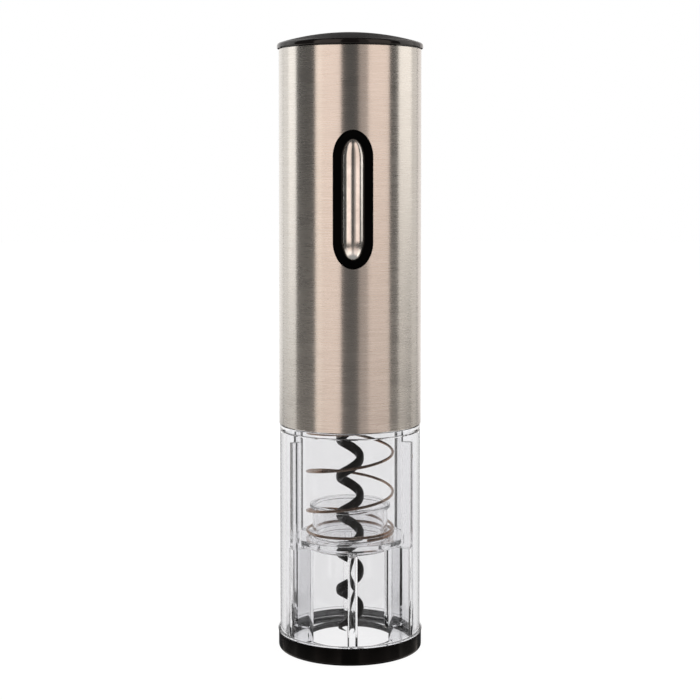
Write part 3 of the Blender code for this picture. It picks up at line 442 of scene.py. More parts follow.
# Glass epoxy under solder resist: green, with paler tracks.
SOLDER_RESIST = CircuitBoard("green_glass_epoxy_board", "14492a", 0.38)
# Shrunk film: smooth dark blue with a gold band at the cells' ends.
CELL_FILM = CellJacket("cell_jacket_film", "1d2a4a", 0.3, 0.2, top=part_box("battery_1")[1].z)
# Stacked iron sheets under varnish: brown with fine level lines.
VARNISHED_IRON = LaminatedIron("varnished_motor_iron", "3d2a20", 0.45, 0.5)
# Extruded PVC: a soft, even red.
RED_SHEATH = MouldedPlastic("red_pvc_wire_sheath", "a51c1c", 0.45, pale="b52828")
# Extruded PVC: a soft, even black.
BLACK_SHEATH = MouldedPlastic("black_pvc_wire_sheath", "101011", 0.45, pale="18181a")


# ---------------------------------------------------------------- modelling


def deselect() -> None:
    """Leave nothing selected, so that an operator acts only on what comes next."""
    bpy.ops.object.select_all(action="DESELECT")


def activate(obj: Object) -> None:
    """Make a piece the only one selected, and the active one."""
    deselect()
    obj.select_set(True)
    bpy.context.view_layer.objects.active = obj


@contextmanager
def editing(obj: Object, test: Callable[[int, Vector], bool] | None = None) -> Iterator[None]:
    """Open a piece in edit mode, and close it afterwards.

    Args:
        obj: the piece.
        test: says from a vertex's number and place if it is selected. Without one, all are.

    Yields:
        Nothing, while the piece is open.
    """
    activate(obj)
    mesh = obj.data
    for vertex in mesh.vertices:
        vertex.select = test is None or test(vertex.index, vertex.co)
    chosen = [vertex.select for vertex in mesh.vertices]
    for edge in mesh.edges:
        edge.select = all(chosen[k] for k in edge.vertices)
    for polygon in mesh.polygons:
        polygon.select = all(chosen[k] for k in polygon.vertices)
    bpy.context.tool_settings.mesh_select_mode = (True, False, False)
    bpy.ops.object.mode_set(mode="EDIT")
    try:
        yield
    finally:
        bpy.ops.object.mode_set(mode="OBJECT")


def clean(obj: Object) -> None:
    """Weld a piece's doubled points and turn its faces out."""
    with editing(obj):
        bpy.ops.mesh.remove_doubles(threshold=MERGE)
        bpy.ops.mesh.normals_make_consistent(inside=False)


def apply_modifier(obj: Object, kind: str, **settings: Any) -> None:
    """Give a piece a modifier and apply it.

    Args:
        obj: the piece.
        kind: the modifier's type.
        **settings: its properties.
    """
    activate(obj)
    modifier = obj.modifiers.new(kind.lower(), kind)
    for key, value in settings.items():
        setattr(modifier, key, value)
    bpy.ops.object.modifier_apply(modifier=modifier.name)


def combine(obj: Object, tool: Object, operation: str) -> None:
    """Cut a piece with a tool, or join the tool to it. The tool is used up.

    Args:
        obj: the piece.
        tool: the closed mesh that cuts it or joins it.
        operation: DIFFERENCE, UNION or INTERSECT.
    """
    apply_modifier(obj, "BOOLEAN", operation=operation, object=tool, solver="EXACT")
    bpy.data.objects.remove(tool, do_unlink=True)


def join(name: str, pieces: Sequence[Object]) -> Object:
    """Make one object of several.

    Args:
        name: the new object's name.
        pieces: the objects, which keep their order of points.

    Returns:
        The joined object.
    """
    deselect()
    for piece in pieces:
        piece.select_set(True)
    bpy.context.view_layer.objects.active = pieces[0]
    bpy.ops.object.join()
    pieces[0].name = name
    return pieces[0]


def copied(obj: Object, name: str) -> Object:
    """Copy a piece, with a mesh of its own."""
    twin = obj.copy()
    twin.data = obj.data.copy()
    twin.name = name
    bpy.context.collection.objects.link(twin)
    return twin


def turn_by(obj: Object, angle: float) -> None:
    """Turn a piece about the frame's upright axis, in its mesh."""
    with editing(obj):
        bpy.ops.transform.rotate(value=angle, orient_axis="Z", center_override=(0, 0, 0))


def shift(obj: Object, by: tuple[float, float, float]) -> None:
    """Move a piece, in its mesh."""
    with editing(obj):
        bpy.ops.transform.translate(value=by)


Corner = tuple[float, float, float]


def soften(corners: Sequence[Corner], closed: bool) -> list[tuple[float, float]]:
    """Round the corners of a profile.

    Args:
        corners: each corner's radius, height and how far its rounding reaches.
        closed: whether the last corner joins the first.

    Returns:
        The rounded profile's points.
    """
    points: list[tuple[float, float]] = []
    count = len(corners)
    for k, (radius, height, reach) in enumerate(corners):
        here = Vector((radius, height))
        if not reach or (not closed and k in (0, count - 1)):
            points.append((radius, height))
            continue
        back = Vector(corners[k - 1][:2]) - here
        ahead = Vector(corners[(k + 1) % count][:2]) - here
        reach = min(reach, back.length * 0.49, ahead.length * 0.49)
        start, end = here + back.normalized() * reach, here + ahead.normalized() * reach
        for step in range(ARC_STEPS + 1):
            t = step / ARC_STEPS
            point = start * (1 - t) ** 2 + here * 2 * t * (1 - t) + end * t ** 2
            points.append((point.x, point.y))
    return points


def turned(name: str, corners: Sequence[Corner], steps: int = 160, closed: bool = False) -> Object:
    """Turn a piece on the axis, as on a lathe: a point is drawn along the profile, then spun.

    Args:
        name: the piece's name.
        corners: the profile's corners: radius, height and reach of the rounding.
        steps: how many steps the spin takes.
        closed: whether the profile is a ring's, which comes back to where it starts.

    Returns:
        The turned piece.
    """
    points = soften(corners, closed)
    if closed:
        points.append(points[0])
    deselect()
    bpy.ops.mesh.primitive_plane_add(size=1 * MM)
    obj = bpy.context.object
    obj.name = name
    with editing(obj):
        bpy.ops.mesh.merge(type="CENTER")
        bpy.ops.transform.translate(value=(points[0][0], 0, points[0][1]))
        for (r0, z0), (r1, z1) in zip(points, points[1:]):
            bpy.ops.mesh.extrude_region_move(TRANSFORM_OT_translate={"value": (r1 - r0, 0, z1 - z0)})
        bpy.ops.mesh.select_all(action="SELECT")
        bpy.ops.mesh.spin(steps=steps, angle=TURN, use_auto_merge=True, center=(0, 0, 0), axis=(0, 0, 1))
    clean(obj)
    return obj


def oblong_loop(half_width: float, half_height: float, end: float, y: float, steps: int = 96) -> Object:
    """Make the outline of a tall slot whose ends are half ellipses, facing the front.

    Args:
        half_width: half its width.
        half_height: half its height.
        end: the height of each rounded end.
        y: where it stands.
        steps: how many points it has.

    Returns:
        The outline, with no face.
    """
    deselect()
    bpy.ops.mesh.primitive_circle_add(vertices=steps, radius=1.0, rotation=(math.pi / 2, 0, 0))
    obj = bpy.context.object
    bpy.ops.object.transform_apply(location=False, rotation=True, scale=False)
    with editing(obj):  # half a step round, so that no point lies level with the middle
        bpy.ops.transform.rotate(value=math.pi / steps, orient_axis="Y", center_override=(0, 0, 0))
        bpy.ops.transform.resize(value=(half_width, 1.0, end), center_override=(0, 0, 0))
        bpy.ops.transform.translate(value=(0, y, 0))
    for side in (-1, 1):
        with editing(obj, lambda _, co, side=side: co.z * side > 0):
            bpy.ops.transform.translate(value=(0, 0, side * (half_height - end)))
    return obj


def lofted(name: str, loops: Sequence[Object], closed: bool) -> Object:
    """Bridge outlines one after the other.

    Args:
        name: the piece's name.
        loops: outlines with as many points each.
        closed: whether the last is bridged to the first. Otherwise both ends are filled.

    Returns:
        The piece.
    """
    count = len(loops[0].data.vertices)
    obj = join(name, loops)
    pairs = [(k, k + 1) for k in range(len(loops) - 1)] + ([(0, len(loops) - 1)] if closed else [])
    for first, second in pairs:
        with editing(obj, lambda n, _, pair=(first, second): n // count in pair):
            bpy.ops.mesh.bridge_edge_loops()
    if not closed:
        for end in (0, len(loops) - 1):
            with editing(obj, lambda n, _, end=end: n // count == end):
                bpy.ops.mesh.edge_face_add()
    clean(obj)
    return obj


def wrapped(obj: Object, radius: float) -> Object:
    """Bend a flat front piece round the sleeve: each point moves back as the sleeve's surface does."""
    for vertex in obj.data.vertices:
        vertex.co.y += radius - math.sqrt(radius * radius - vertex.co.x ** 2)
    return obj


def drawn_wire(name: str, points: Sequence[Vector], shares: Sequence[float], section: tuple[float, float],
               square: float = 2.0, sides: int = 20) -> Object:
    """Draw a wire along points. Its section stays upright.

    Args:
        name: the piece's name.
        points: the centreline.
        shares: how thick the wire is at each point, as a share.
        section: half its thickness across and half its height.
        square: 2 for an elliptical section, and more for a squarer one.
        sides: how many sides the section has.

    Returns:
        The wire as a closed mesh.
    """
    deselect()
    bpy.ops.curve.primitive_nurbs_path_add()
    outline = bpy.context.object
    outline.data.dimensions = "2D"
    _lay_points(outline.data, [Vector((_power(math.cos(a), square) * section[0],
                                       _power(math.sin(a), square) * section[1], 0))
                               for a in [TURN * k / sides for k in range(sides)]], [1.0] * sides, cyclic=True)
    deselect()
    bpy.ops.curve.primitive_nurbs_path_add()
    path = bpy.context.object
    path.name = name
    path.data.dimensions = "3D"
    path.data.twist_mode = "Z_UP"
    _lay_points(path.data, points, shares, cyclic=False)
    path.data.bevel_mode = "OBJECT"
    path.data.bevel_object = outline
    path.data.use_fill_caps = True
    activate(path)
    bpy.ops.object.convert(target="MESH")
    bpy.data.objects.remove(outline, do_unlink=True)
    wire = bpy.context.object
    clean(wire)
    return wire


def _power(value: float, square: float) -> float:
    """A superellipse's coordinate from a circle's."""
    return math.copysign(abs(value) ** (2 / square), value)


def _lay_points(curve: Curve, points: Sequence[Vector], shares: Sequence[float], cyclic: bool) -> None:
    """Replace a curve's points."""
    curve.splines.clear()
    spline = curve.splines.new("POLY")
    spline.points.add(len(points) - 1)
    for point, co, share in zip(spline.points, points, shares):
        point.co = (*co, 1.0)
        point.radius = share
    spline.use_cyclic_u = cyclic


def hand_over(obj: Object, body: Body, slot: Slot, finish: Finish, *nodes: str) -> None:
    """Finish a piece: settle its place, dress it, and let it stand for CAD nodes.

    Args:
        obj: the piece.
        body: the body it rides on.
        slot: the record's material slot for the piece. Not used.
        finish: its material.
        *nodes: the CAD nodes it stands for.
    """
    activate(obj)
    bpy.ops.object.transform_apply(location=True, rotation=True, scale=True)
    bpy.ops.object.shade_smooth_by_angle(angle=SMOOTH_ANGLE)
    # so that a flat side stays flat up to its rounding
    apply_modifier(obj, "WEIGHTED_NORMAL", keep_sharp=True)
    obj.data.materials.clear()
    obj.data.materials.append(finish.material())
    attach(obj, body.value)
    if nodes:
        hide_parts(*nodes)
    log.info("%s: %d faces, rides on %s", obj.name, len(obj.data.polygons), body.value)


def joint_place(name: str) -> Vector:
    """Where one of the record's joints is."""
    return Vector(next(joint["pos_m"] for joint in frame["joints"] if joint["name"] == name))


def levels(node: str) -> tuple[float, float, float]:
    """A CAD node's lowest and highest level, and how far it reaches from the axis along X."""
    low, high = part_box(node)
    return low.z, high.z, high.x


# ---------------------------------------------------------------- sub-assemblies


@dataclass
class Switch:
    """The bezel in the sleeve's slot and the rocker button that tilts in it."""

    half_width: float = 4.15 * MM
    end: float = 7.9 * MM
    clearance: float = 0.6 * MM
    side: float = 1.95 * MM
    brow: float = 1.5 * MM
    slot_gap: float = 0.3 * MM
    recess: float = 0.35 * MM
    lip: float = 0.3 * MM
    dish: float = 1.6 * MM
    crown_radius: float = 4.3 * MM
    crown: float = 3.15 * MM
    skirt_edge: float = 0.12 * MM
    pin_radius: float = 0.8 * MM

    def __post_init__(self) -> None:
        """Take the switch's place and height from the frame."""
        low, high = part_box("rocker_button")
        self.middle = (low.z + high.z) / 2
        self.half_height = (high.z - low.z) / 2
        self.front, self.back = low.y, high.y
        self.reach = high.x
        self.surface = levels("body_sleeve")[2]

    def slot_tool(self) -> Object:
        """Make the tool that cuts the sleeve's slot."""
        wide = self.half_width + self.clearance + self.side + self.slot_gap
        tall = self.half_height + self.clearance + self.brow + self.slot_gap
        loops = [oblong_loop(wide, tall, self.end + self.brow, y) for y in (-1.5 * self.surface, 0.0)]
        tool = lofted("slot_tool", loops, closed=False)
        shift(tool, (0, 0, self.middle))
        return tool

    def bezel(self) -> None:
        """Model the bezel: a rounded lip, a sloping land and a deep inner wall."""
        wide = self.half_width + self.clearance + self.side
        tall = self.half_height + self.clearance + self.brow
        end = self.end + self.brow
        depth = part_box("switch_bezel")[1].y - 1.5 * MM
        front = -self.surface + self.recess
        across = min(self.side, self.brow)
        profile = [(0.0, 1.0), (0.04, 0.4), (0.1, 0.1), (0.18, 0.0), (0.3, 0.0), (0.9, 0.0), (0.97, 0.4),
                   (1.0, 1.2)]
        stations = [(share, front + drop * self.lip + share * share * self.dish) for share, drop in profile]
        loops = []
        for share, y in [(0.0, depth), *stations, (1.0, depth)]:
            loops.append(oblong_loop(wide - share * self.side, tall - share * self.brow,
                                     end - share * across, y))
        piece = wrapped(lofted("bezel_lip", loops, closed=True), self.surface)
        shift(piece, (0, 0, self.middle))
        hand_over(piece, Body.OPENER, Slot.GLOSS_BLACK, BLACK_GLOSS_ABS, "switch_bezel")

    def button(self) -> None:
        """Model the button: an ellipsoid drawn out in its middle, cut flat and set on a skirt."""
        stretch = self.crown_radius / self.half_width
        deselect()
        bpy.ops.mesh.primitive_uv_sphere_add(segments=96, ring_count=49, radius=1.0)
        piece = bpy.context.object
        piece.name = "button_crown"
        cut = self.front + self.crown
        with editing(piece):
            bpy.ops.transform.resize(value=(self.crown_radius, self.crown_radius, self.end * stretch),
                                     center_override=(0, 0, 0))
            bpy.ops.transform.translate(value=(0, self.front + self.crown_radius, 0))
        for side in (-1, 1):
            with editing(piece, lambda _, co, side=side: co.z * side > 0):
                bpy.ops.transform.translate(value=(0, 0, side * (self.half_height - self.end)))
        with editing(piece):
            bpy.ops.mesh.bisect(plane_co=(0, cut, 0), plane_no=(0, 1, 0), clear_outer=True)
            bpy.ops.mesh.select_all(action="DESELECT")
            bpy.ops.mesh.select_non_manifold()
            bpy.ops.mesh.extrude_region_move(TRANSFORM_OT_translate={"value": (0, self.back - cut, 0)})
            bpy.ops.mesh.edge_face_add()
        clean(piece)
        apply_modifier(piece, "BEVEL", width=self.skirt_edge, segments=3, limit_method="ANGLE",
                       angle_limit=math.radians(50))
        shift(piece, (0, 0, self.middle))
        hand_over(piece, Body.ROCKER, Slot.BUTTON, SATIN_STAINLESS, "rocker_button")

    def pin(self) -> None:
        """Model the moulded pin through the button's back, which it tilts on."""
        deselect()
        bpy.ops.mesh.primitive_cylinder_add(vertices=32, radius=self.pin_radius, depth=2 * self.reach,
                                            rotation=(0, math.pi / 2, 0))
        piece = bpy.context.object
        piece.name = "hinge_pin"
        bpy.ops.object.transform_apply(location=False, rotation=True, scale=False)
        apply_modifier(piece, "BEVEL", width=0.15 * MM, segments=3, limit_method="ANGLE")
        shift(piece, tuple(joint_place("rocker_tilt")))
        hand_over(piece, Body.ROCKER, Slot.GLOSS_BLACK, BLACK_GLOSS_ABS)

    def build(self) -> None:
        """Build the bezel, the button and its pin."""
        self.bezel()
        self.button()
        self.pin()


@dataclass
class Sleeve:
    """The brushed steel tube with the switch's slot in it."""

    wall: float = 0.7 * MM
    edge: float = 0.15 * MM
    steps: int = 256

    def build(self, switch: Switch) -> None:
        """Turn the tube and cut its slot."""
        low, high, radius = levels("body_sleeve")
        bore = radius - self.wall
        corners = [(radius, high, self.edge), (radius, low, self.edge), (bore, low, self.edge),
                   (bore, high, self.edge)]
        piece = turned("steel_sleeve", corners, self.steps, closed=True)
        combine(piece, switch.slot_tool(), "DIFFERENCE")
        hand_over(piece, Body.OPENER, Slot.BRUSHED_STEEL, BRUSHED_STAINLESS, "body_sleeve")


@dataclass
class Cap:
    """The domed cap that closes the cells' end."""

    rim_edge: float = 0.8 * MM
    rise: float = 4.0 * MM
    skirt: float = 6.7 * MM
    skirt_wall: float = 1.3 * MM
    floor: float = 2.1 * MM
    dome_steps: int = 14

    def build(self) -> None:
        """Turn the cap: skirt, rim and dome."""
        low, high, rim = levels("top_cap")
        seat = low + self.skirt
        plug = levels("body_sleeve")[2] - Sleeve.wall - 0.3 * MM
        ball = (rim * rim + self.rise * self.rise) / (2 * self.rise)
        half_angle = math.asin(rim / ball)
        dome = []
        for k in range(self.dome_steps + 1):
            a = half_angle * k / self.dome_steps
            last = k == self.dome_steps
            dome.append((ball * math.sin(a), high - ball * (1 - math.cos(a)), self.rim_edge if last else 0.0))
        corners = dome + [(rim, seat, 0.35 * MM), (plug, seat, 0.0), (plug, low, 0.3 * MM),
                          (plug - self.skirt_wall, low, 0.3 * MM),
                          (plug - self.skirt_wall, seat - self.floor, 0.3 * MM),
                          (0.0, seat - self.floor, 0.0)]
        hand_over(turned("domed_cap", corners, 192), Body.CAP, Slot.GLOSS_BLACK, CAP_ABS, "top_cap")


@dataclass
class Guide:
    """The clear guide with its ribs and rails, and the black ring it stands in."""

    wall: float = 1.8 * MM
    neck: float = 5.0 * MM
    neck_step: float = 0.7 * MM
    neck_wall: float = 1.1 * MM
    flange: float = 0.5 * MM
    flange_reach: float = 0.8 * MM
    spigot_gap: float = 0.3 * MM
    ring_wall: float = 1.5 * MM
    lip: float = 1.5 * MM
    floor: float = 2.2 * MM
    hole: float = 15.9 * MM
    rib_nose: float = 15.6 * MM
    rib_width: float = 3.2 * MM
    rib_height: float = 34.0 * MM
    ribs: int = 6
    rail_nose: float = 20.4 * MM
    rail_width: float = 2.0 * MM
    rail_height: float = 38.0 * MM
    rail_angles: tuple[int, ...] = (60, 120, 240, 300)  # from the front towards +X
    rib_round: float = 0.47  # of its width
    rail_edge: float = 0.4 * MM
    groove_drop: float = 1.9 * MM
    groove: float = 0.3 * MM
    edge: float = 0.25 * MM

    def bar(self, nose: float, width: float, low: float, high: float, back: float,
            rounding: float) -> Object:
        """Model an upright bar that stands in from the guide's wall, at the front.

        Args:
            nose: how far its inner side is from the axis.
            width: its width.
            low: its lower end.
            high: its upper end.
            back: how far its hidden outer side is from the axis.
            rounding: how far its inner side is rounded.

        Returns:
            The bar.
        """
        deselect()
        bpy.ops.mesh.primitive_cube_add(size=1.0)
        bar = bpy.context.object
        with editing(bar):
            bpy.ops.transform.resize(value=(width, back - nose, high - low), center_override=(0, 0, 0))
            bpy.ops.transform.translate(value=(0, -(back + nose) / 2, (low + high) / 2))
        middle = -(back + nose) / 2
        with editing(bar, lambda _, co: co.y > middle):
            bpy.ops.mesh.select_mode(type="EDGE")
            bpy.ops.mesh.bevel(offset=rounding, segments=8, affect="EDGES")
        return bar

    def housing(self) -> None:
        """Turn the guide's tube and join its ribs and rails to it."""
        low, high, widest = levels("clear_housing")
        shoulder = high - self.neck
        seat = levels("base_ring")[1] + self.spigot_gap
        radius = widest - self.flange_reach
        bore = radius - self.wall
        spigot = levels("base_ring")[2] - self.ring_wall - self.spigot_gap
        neck = radius - self.neck_step
        groove = shoulder - self.groove_drop
        e = self.edge
        corners = [
            (neck, high, e), (neck, shoulder, 0.0), (radius, shoulder, e),
            (radius, groove + self.groove, 0.0),
            (radius - self.groove, groove, 0.05 * MM), (radius, groove - self.groove, 0.0),
            (radius, seat + self.flange, 0.1 * MM), (widest, seat + self.flange, 0.15 * MM),
            (widest, seat, 0.1 * MM), (spigot, seat, 0.0), (spigot, low, e), (self.hole, low, e),
            (self.hole, low + self.floor, e), (bore, low + self.floor, 2 * e),
            (bore, shoulder - 2.0 * MM, 0.3 * MM), (neck - self.neck_wall, shoulder - 0.4 * MM, 0.3 * MM),
            (neck - self.neck_wall, high, e)]
        piece = turned("clear_guide", corners, 192, closed=True)
        rib_top = low + self.floor + self.rib_height
        back = (spigot + bore) / 2
        rib = self.bar(self.rib_nose, self.rib_width, low + self.floor / 2, rib_top, back,
                       self.rib_width * self.rib_round)
        rail = self.bar(self.rail_nose, self.rail_width, rib_top - self.rib_width / 2,
                        rib_top + self.rail_height, back, self.rail_edge)
        places = [(rib, 360 * k / self.ribs) for k in range(self.ribs)]
        places += [(rail, degrees) for degrees in self.rail_angles]
        for bar, degrees in places:
            twin = copied(bar, "bar_copy")
            turn_by(twin, math.radians(degrees))
            combine(piece, twin, "UNION")
        for bar in (rib, rail):
            bpy.data.objects.remove(bar, do_unlink=True)
        hand_over(piece, Body.OPENER, Slot.CLEAR, CLEAR_POLYCARBONATE, "clear_housing")

    def ring(self) -> None:
        """Turn the black ring under the guide."""
        low, high, radius = levels("base_ring")
        bore = radius - self.ring_wall
        inner = bore - self.lip
        corners = [(radius, high, 0.2 * MM), (radius, low, 1.0 * MM), (inner, low, 0.3 * MM),
                   (inner, low + self.lip, 0.2 * MM), (bore, low + self.lip, 0.0), (bore, high, 0.2 * MM)]
        hand_over(turned("foot_ring", corners, 192, closed=True), Body.OPENER, Slot.GLOSS_BLACK,
                  BLACK_GLOSS_ABS, "base_ring")

    def build(self) -> None:
        """Build the guide and its ring."""
        self.housing()
        self.ring()


@dataclass
class Cup:
    """The clear cup that slides up as the bottle's lip pushes it."""

    bore: float = 12.4 * MM
    wall: float = 1.2 * MM
    boss_wall: float = 2.2 * MM
    boss: float = 2.3 * MM
    flange: float = 2.4 * MM
    lip: float = 0.9 * MM
    lip_height: float = 1.2 * MM
    edge: float = 0.3 * MM

    def build(self) -> None:
        """Turn the cup."""
        low, high, widest = levels("cork_cup")
        seat = low + self.boss
        top = seat + self.flange
        collar = self.bore + self.wall
        e = self.edge
        corners = [(collar + self.lip, high, e), (collar + self.lip, high - self.lip_height, e),
                   (collar, high - self.lip_height, e), (collar, top, 2 * e), (widest, top, e),
                   (widest, seat, e),
                   (self.bore + self.boss_wall, seat, e), (self.bore + self.boss_wall, low, e),
                   (self.bore, low, 2 * e), (self.bore, high, e)]
        hand_over(turned("clear_cup", corners, 160, closed=True), Body.CUP, Slot.CLEAR, CLEAR_POLYCARBONATE,
                  "cork_cup")


@dataclass
class ReturnSpring:
    """The spring that pushes the cup back down, its end turns closed."""

    wire: float = 1.0 * MM
    start: float = -2.385 * math.pi
    closed_turns: float = 1.0
    blend_turns: float = 0.5
    open_turns: float = 2.06
    closed_pitch: float = 1.1 * MM
    points_per_turn: int = 48
    travel: float = 28.0 * MM

    def centreline(self, radius: float, low: float, high: float) -> list[Vector]:
        """Work out the wire's centreline.

        Args:
            radius: the coil's mean radius.
            low: the first point's height.
            high: the last point's height.

        Returns:
            The points, from the bottom up.
        """
        turns = 2 * (self.closed_turns + self.blend_turns) + self.open_turns
        open_share = self.open_turns + self.blend_turns
        pitch = (high - low - self.closed_pitch * (turns - open_share)) / open_share
        steps = round(turns * self.points_per_turn)
        height, points = low, []
        for k in range(steps + 1):
            turn = turns * k / steps
            inside = min(turn, turns - turn) - self.closed_turns
            opened = max(0.0, min(1.0, inside / self.blend_turns))
            if k:
                height += (self.closed_pitch + (pitch - self.closed_pitch) * opened) * turns / steps
            angle = self.start + TURN * turn
            points.append(Vector((radius * math.cos(angle), radius * math.sin(angle), height)))
        return points

    def build(self) -> None:
        """Coil the spring."""
        low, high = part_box("return_spring")
        half = self.wire / 2
        points = self.centreline(levels("return_spring")[2] - half, low.z + half, high.z - half)
        piece = drawn_wire("coiled_spring", points, [1.0] * len(points), (half, half), sides=16)
        hand_over(piece, Body.OPENER, Slot.SPRING_STEEL, SPRING_WIRE, "return_spring")
        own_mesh(piece)


@dataclass
class Worm:
    """The coated worm and the chuck it sits in."""

    wire: float = 3.1 * MM
    across: float = 1.32 * MM
    upright: float = 1.70 * MM
    reach: float = 5.05 * MM
    pitch: float = 13.8 * MM
    tip: float = 3.8 * MM
    left_level: float = 47.9 * MM
    taper: float = 10.0 * MM
    points_per_turn: int = 48
    chuck_edge: float = 0.3 * MM
    chuck_bore: float = 1.9 * MM
    chuck_top: float = 0.5 * MM

    def build(self) -> None:
        """Bend the worm and turn its chuck."""
        chuck_low, chuck_high, chuck_radius = levels("worm_chuck")
        last = chuck_low - self.wire / 2
        gather = self.pitch / 4
        mean = self.reach - self.across
        count = math.ceil((last - self.tip) / self.pitch * self.points_per_turn)
        points, shares = [], []
        for k in range(count + 1):
            z = self.tip + (last - self.tip) * k / count
            angle = math.pi + TURN * (z - self.left_level) / self.pitch
            inward = max(0.0, min(1.0, (z - last + gather) / gather))
            radius = mean * (1 - inward * inward * (3 - 2 * inward))
            points.append(Vector((radius * math.cos(angle), radius * math.sin(angle), z)))
            shares.append(max(0.06, min(1.0, (z - self.tip) / self.taper) ** 0.7))
        piece = drawn_wire("coated_worm", points, shares, (self.across, self.upright), square=2.5, sides=28)
        hand_over(piece, Body.SPINDLE, Slot.COATED_STEEL, WORM_COAT, "worm")
        corners = [(0.0, chuck_high, 0.0), (chuck_radius, chuck_high, self.chuck_edge),
                   (chuck_radius, chuck_low, self.chuck_edge), (self.chuck_bore, chuck_low, 0.2 * MM),
                   (self.chuck_bore, chuck_high - self.chuck_top, 0.0),
                   (0.0, chuck_high - self.chuck_top, 0.0)]
        hand_over(turned("chuck_collar", corners, 64), Body.SPINDLE, Slot.ZINC, ZINC_PLATE, "worm_chuck")


@dataclass
class Inside:
    """The pieces inside the sleeve, which keep their CAD shapes and get their own finishes."""

    def build(self) -> None:
        """Dress every CAD node that still shows, by its material slot."""
        finishes = {
            Slot.BRUSHED_STEEL: BRUSHED_STAINLESS, Slot.ZINC: ZINC_PLATE, Slot.SPRING_STEEL: SPRING_WIRE,
            Slot.BUTTON: SATIN_STAINLESS, Slot.CLEAR: CLEAR_POLYCARBONATE, Slot.GLOSS_BLACK: BLACK_GLOSS_ABS,
            Slot.GREY: GREY_ABS, Slot.COATED_STEEL: WORM_COAT, Slot.ACETAL: WHITE_ACETAL,
            Slot.BOARD: SOLDER_RESIST, Slot.JACKET: CELL_FILM, Slot.IRON: VARNISHED_IRON,
            Slot.RED_WIRE: RED_SHEATH, Slot.BLACK_WIRE: BLACK_SHEATH}
        slots = {part["node"]: Slot(part["material_slot"]) for part in frame["record"]["subparts"]}
        for node, obj in frame["nodes"].items():
            finish = finishes[slots[node]]
            obj.data.materials.clear()
            obj.data.materials.append(finish.material())
            log.info("%s: dressed in %s", node, finish.name)


# ---------------------------------------------------------------- studio


@dataclass(frozen=True)
class Panel:
    """A tall soft light or reflector that stands round the opener.

    Angles are in degrees from the camera's side, towards +X.
    """

    start: float
    stop: float
    strength: float
    colour: str
    foot: float = -0.2
    head: float = 2.4


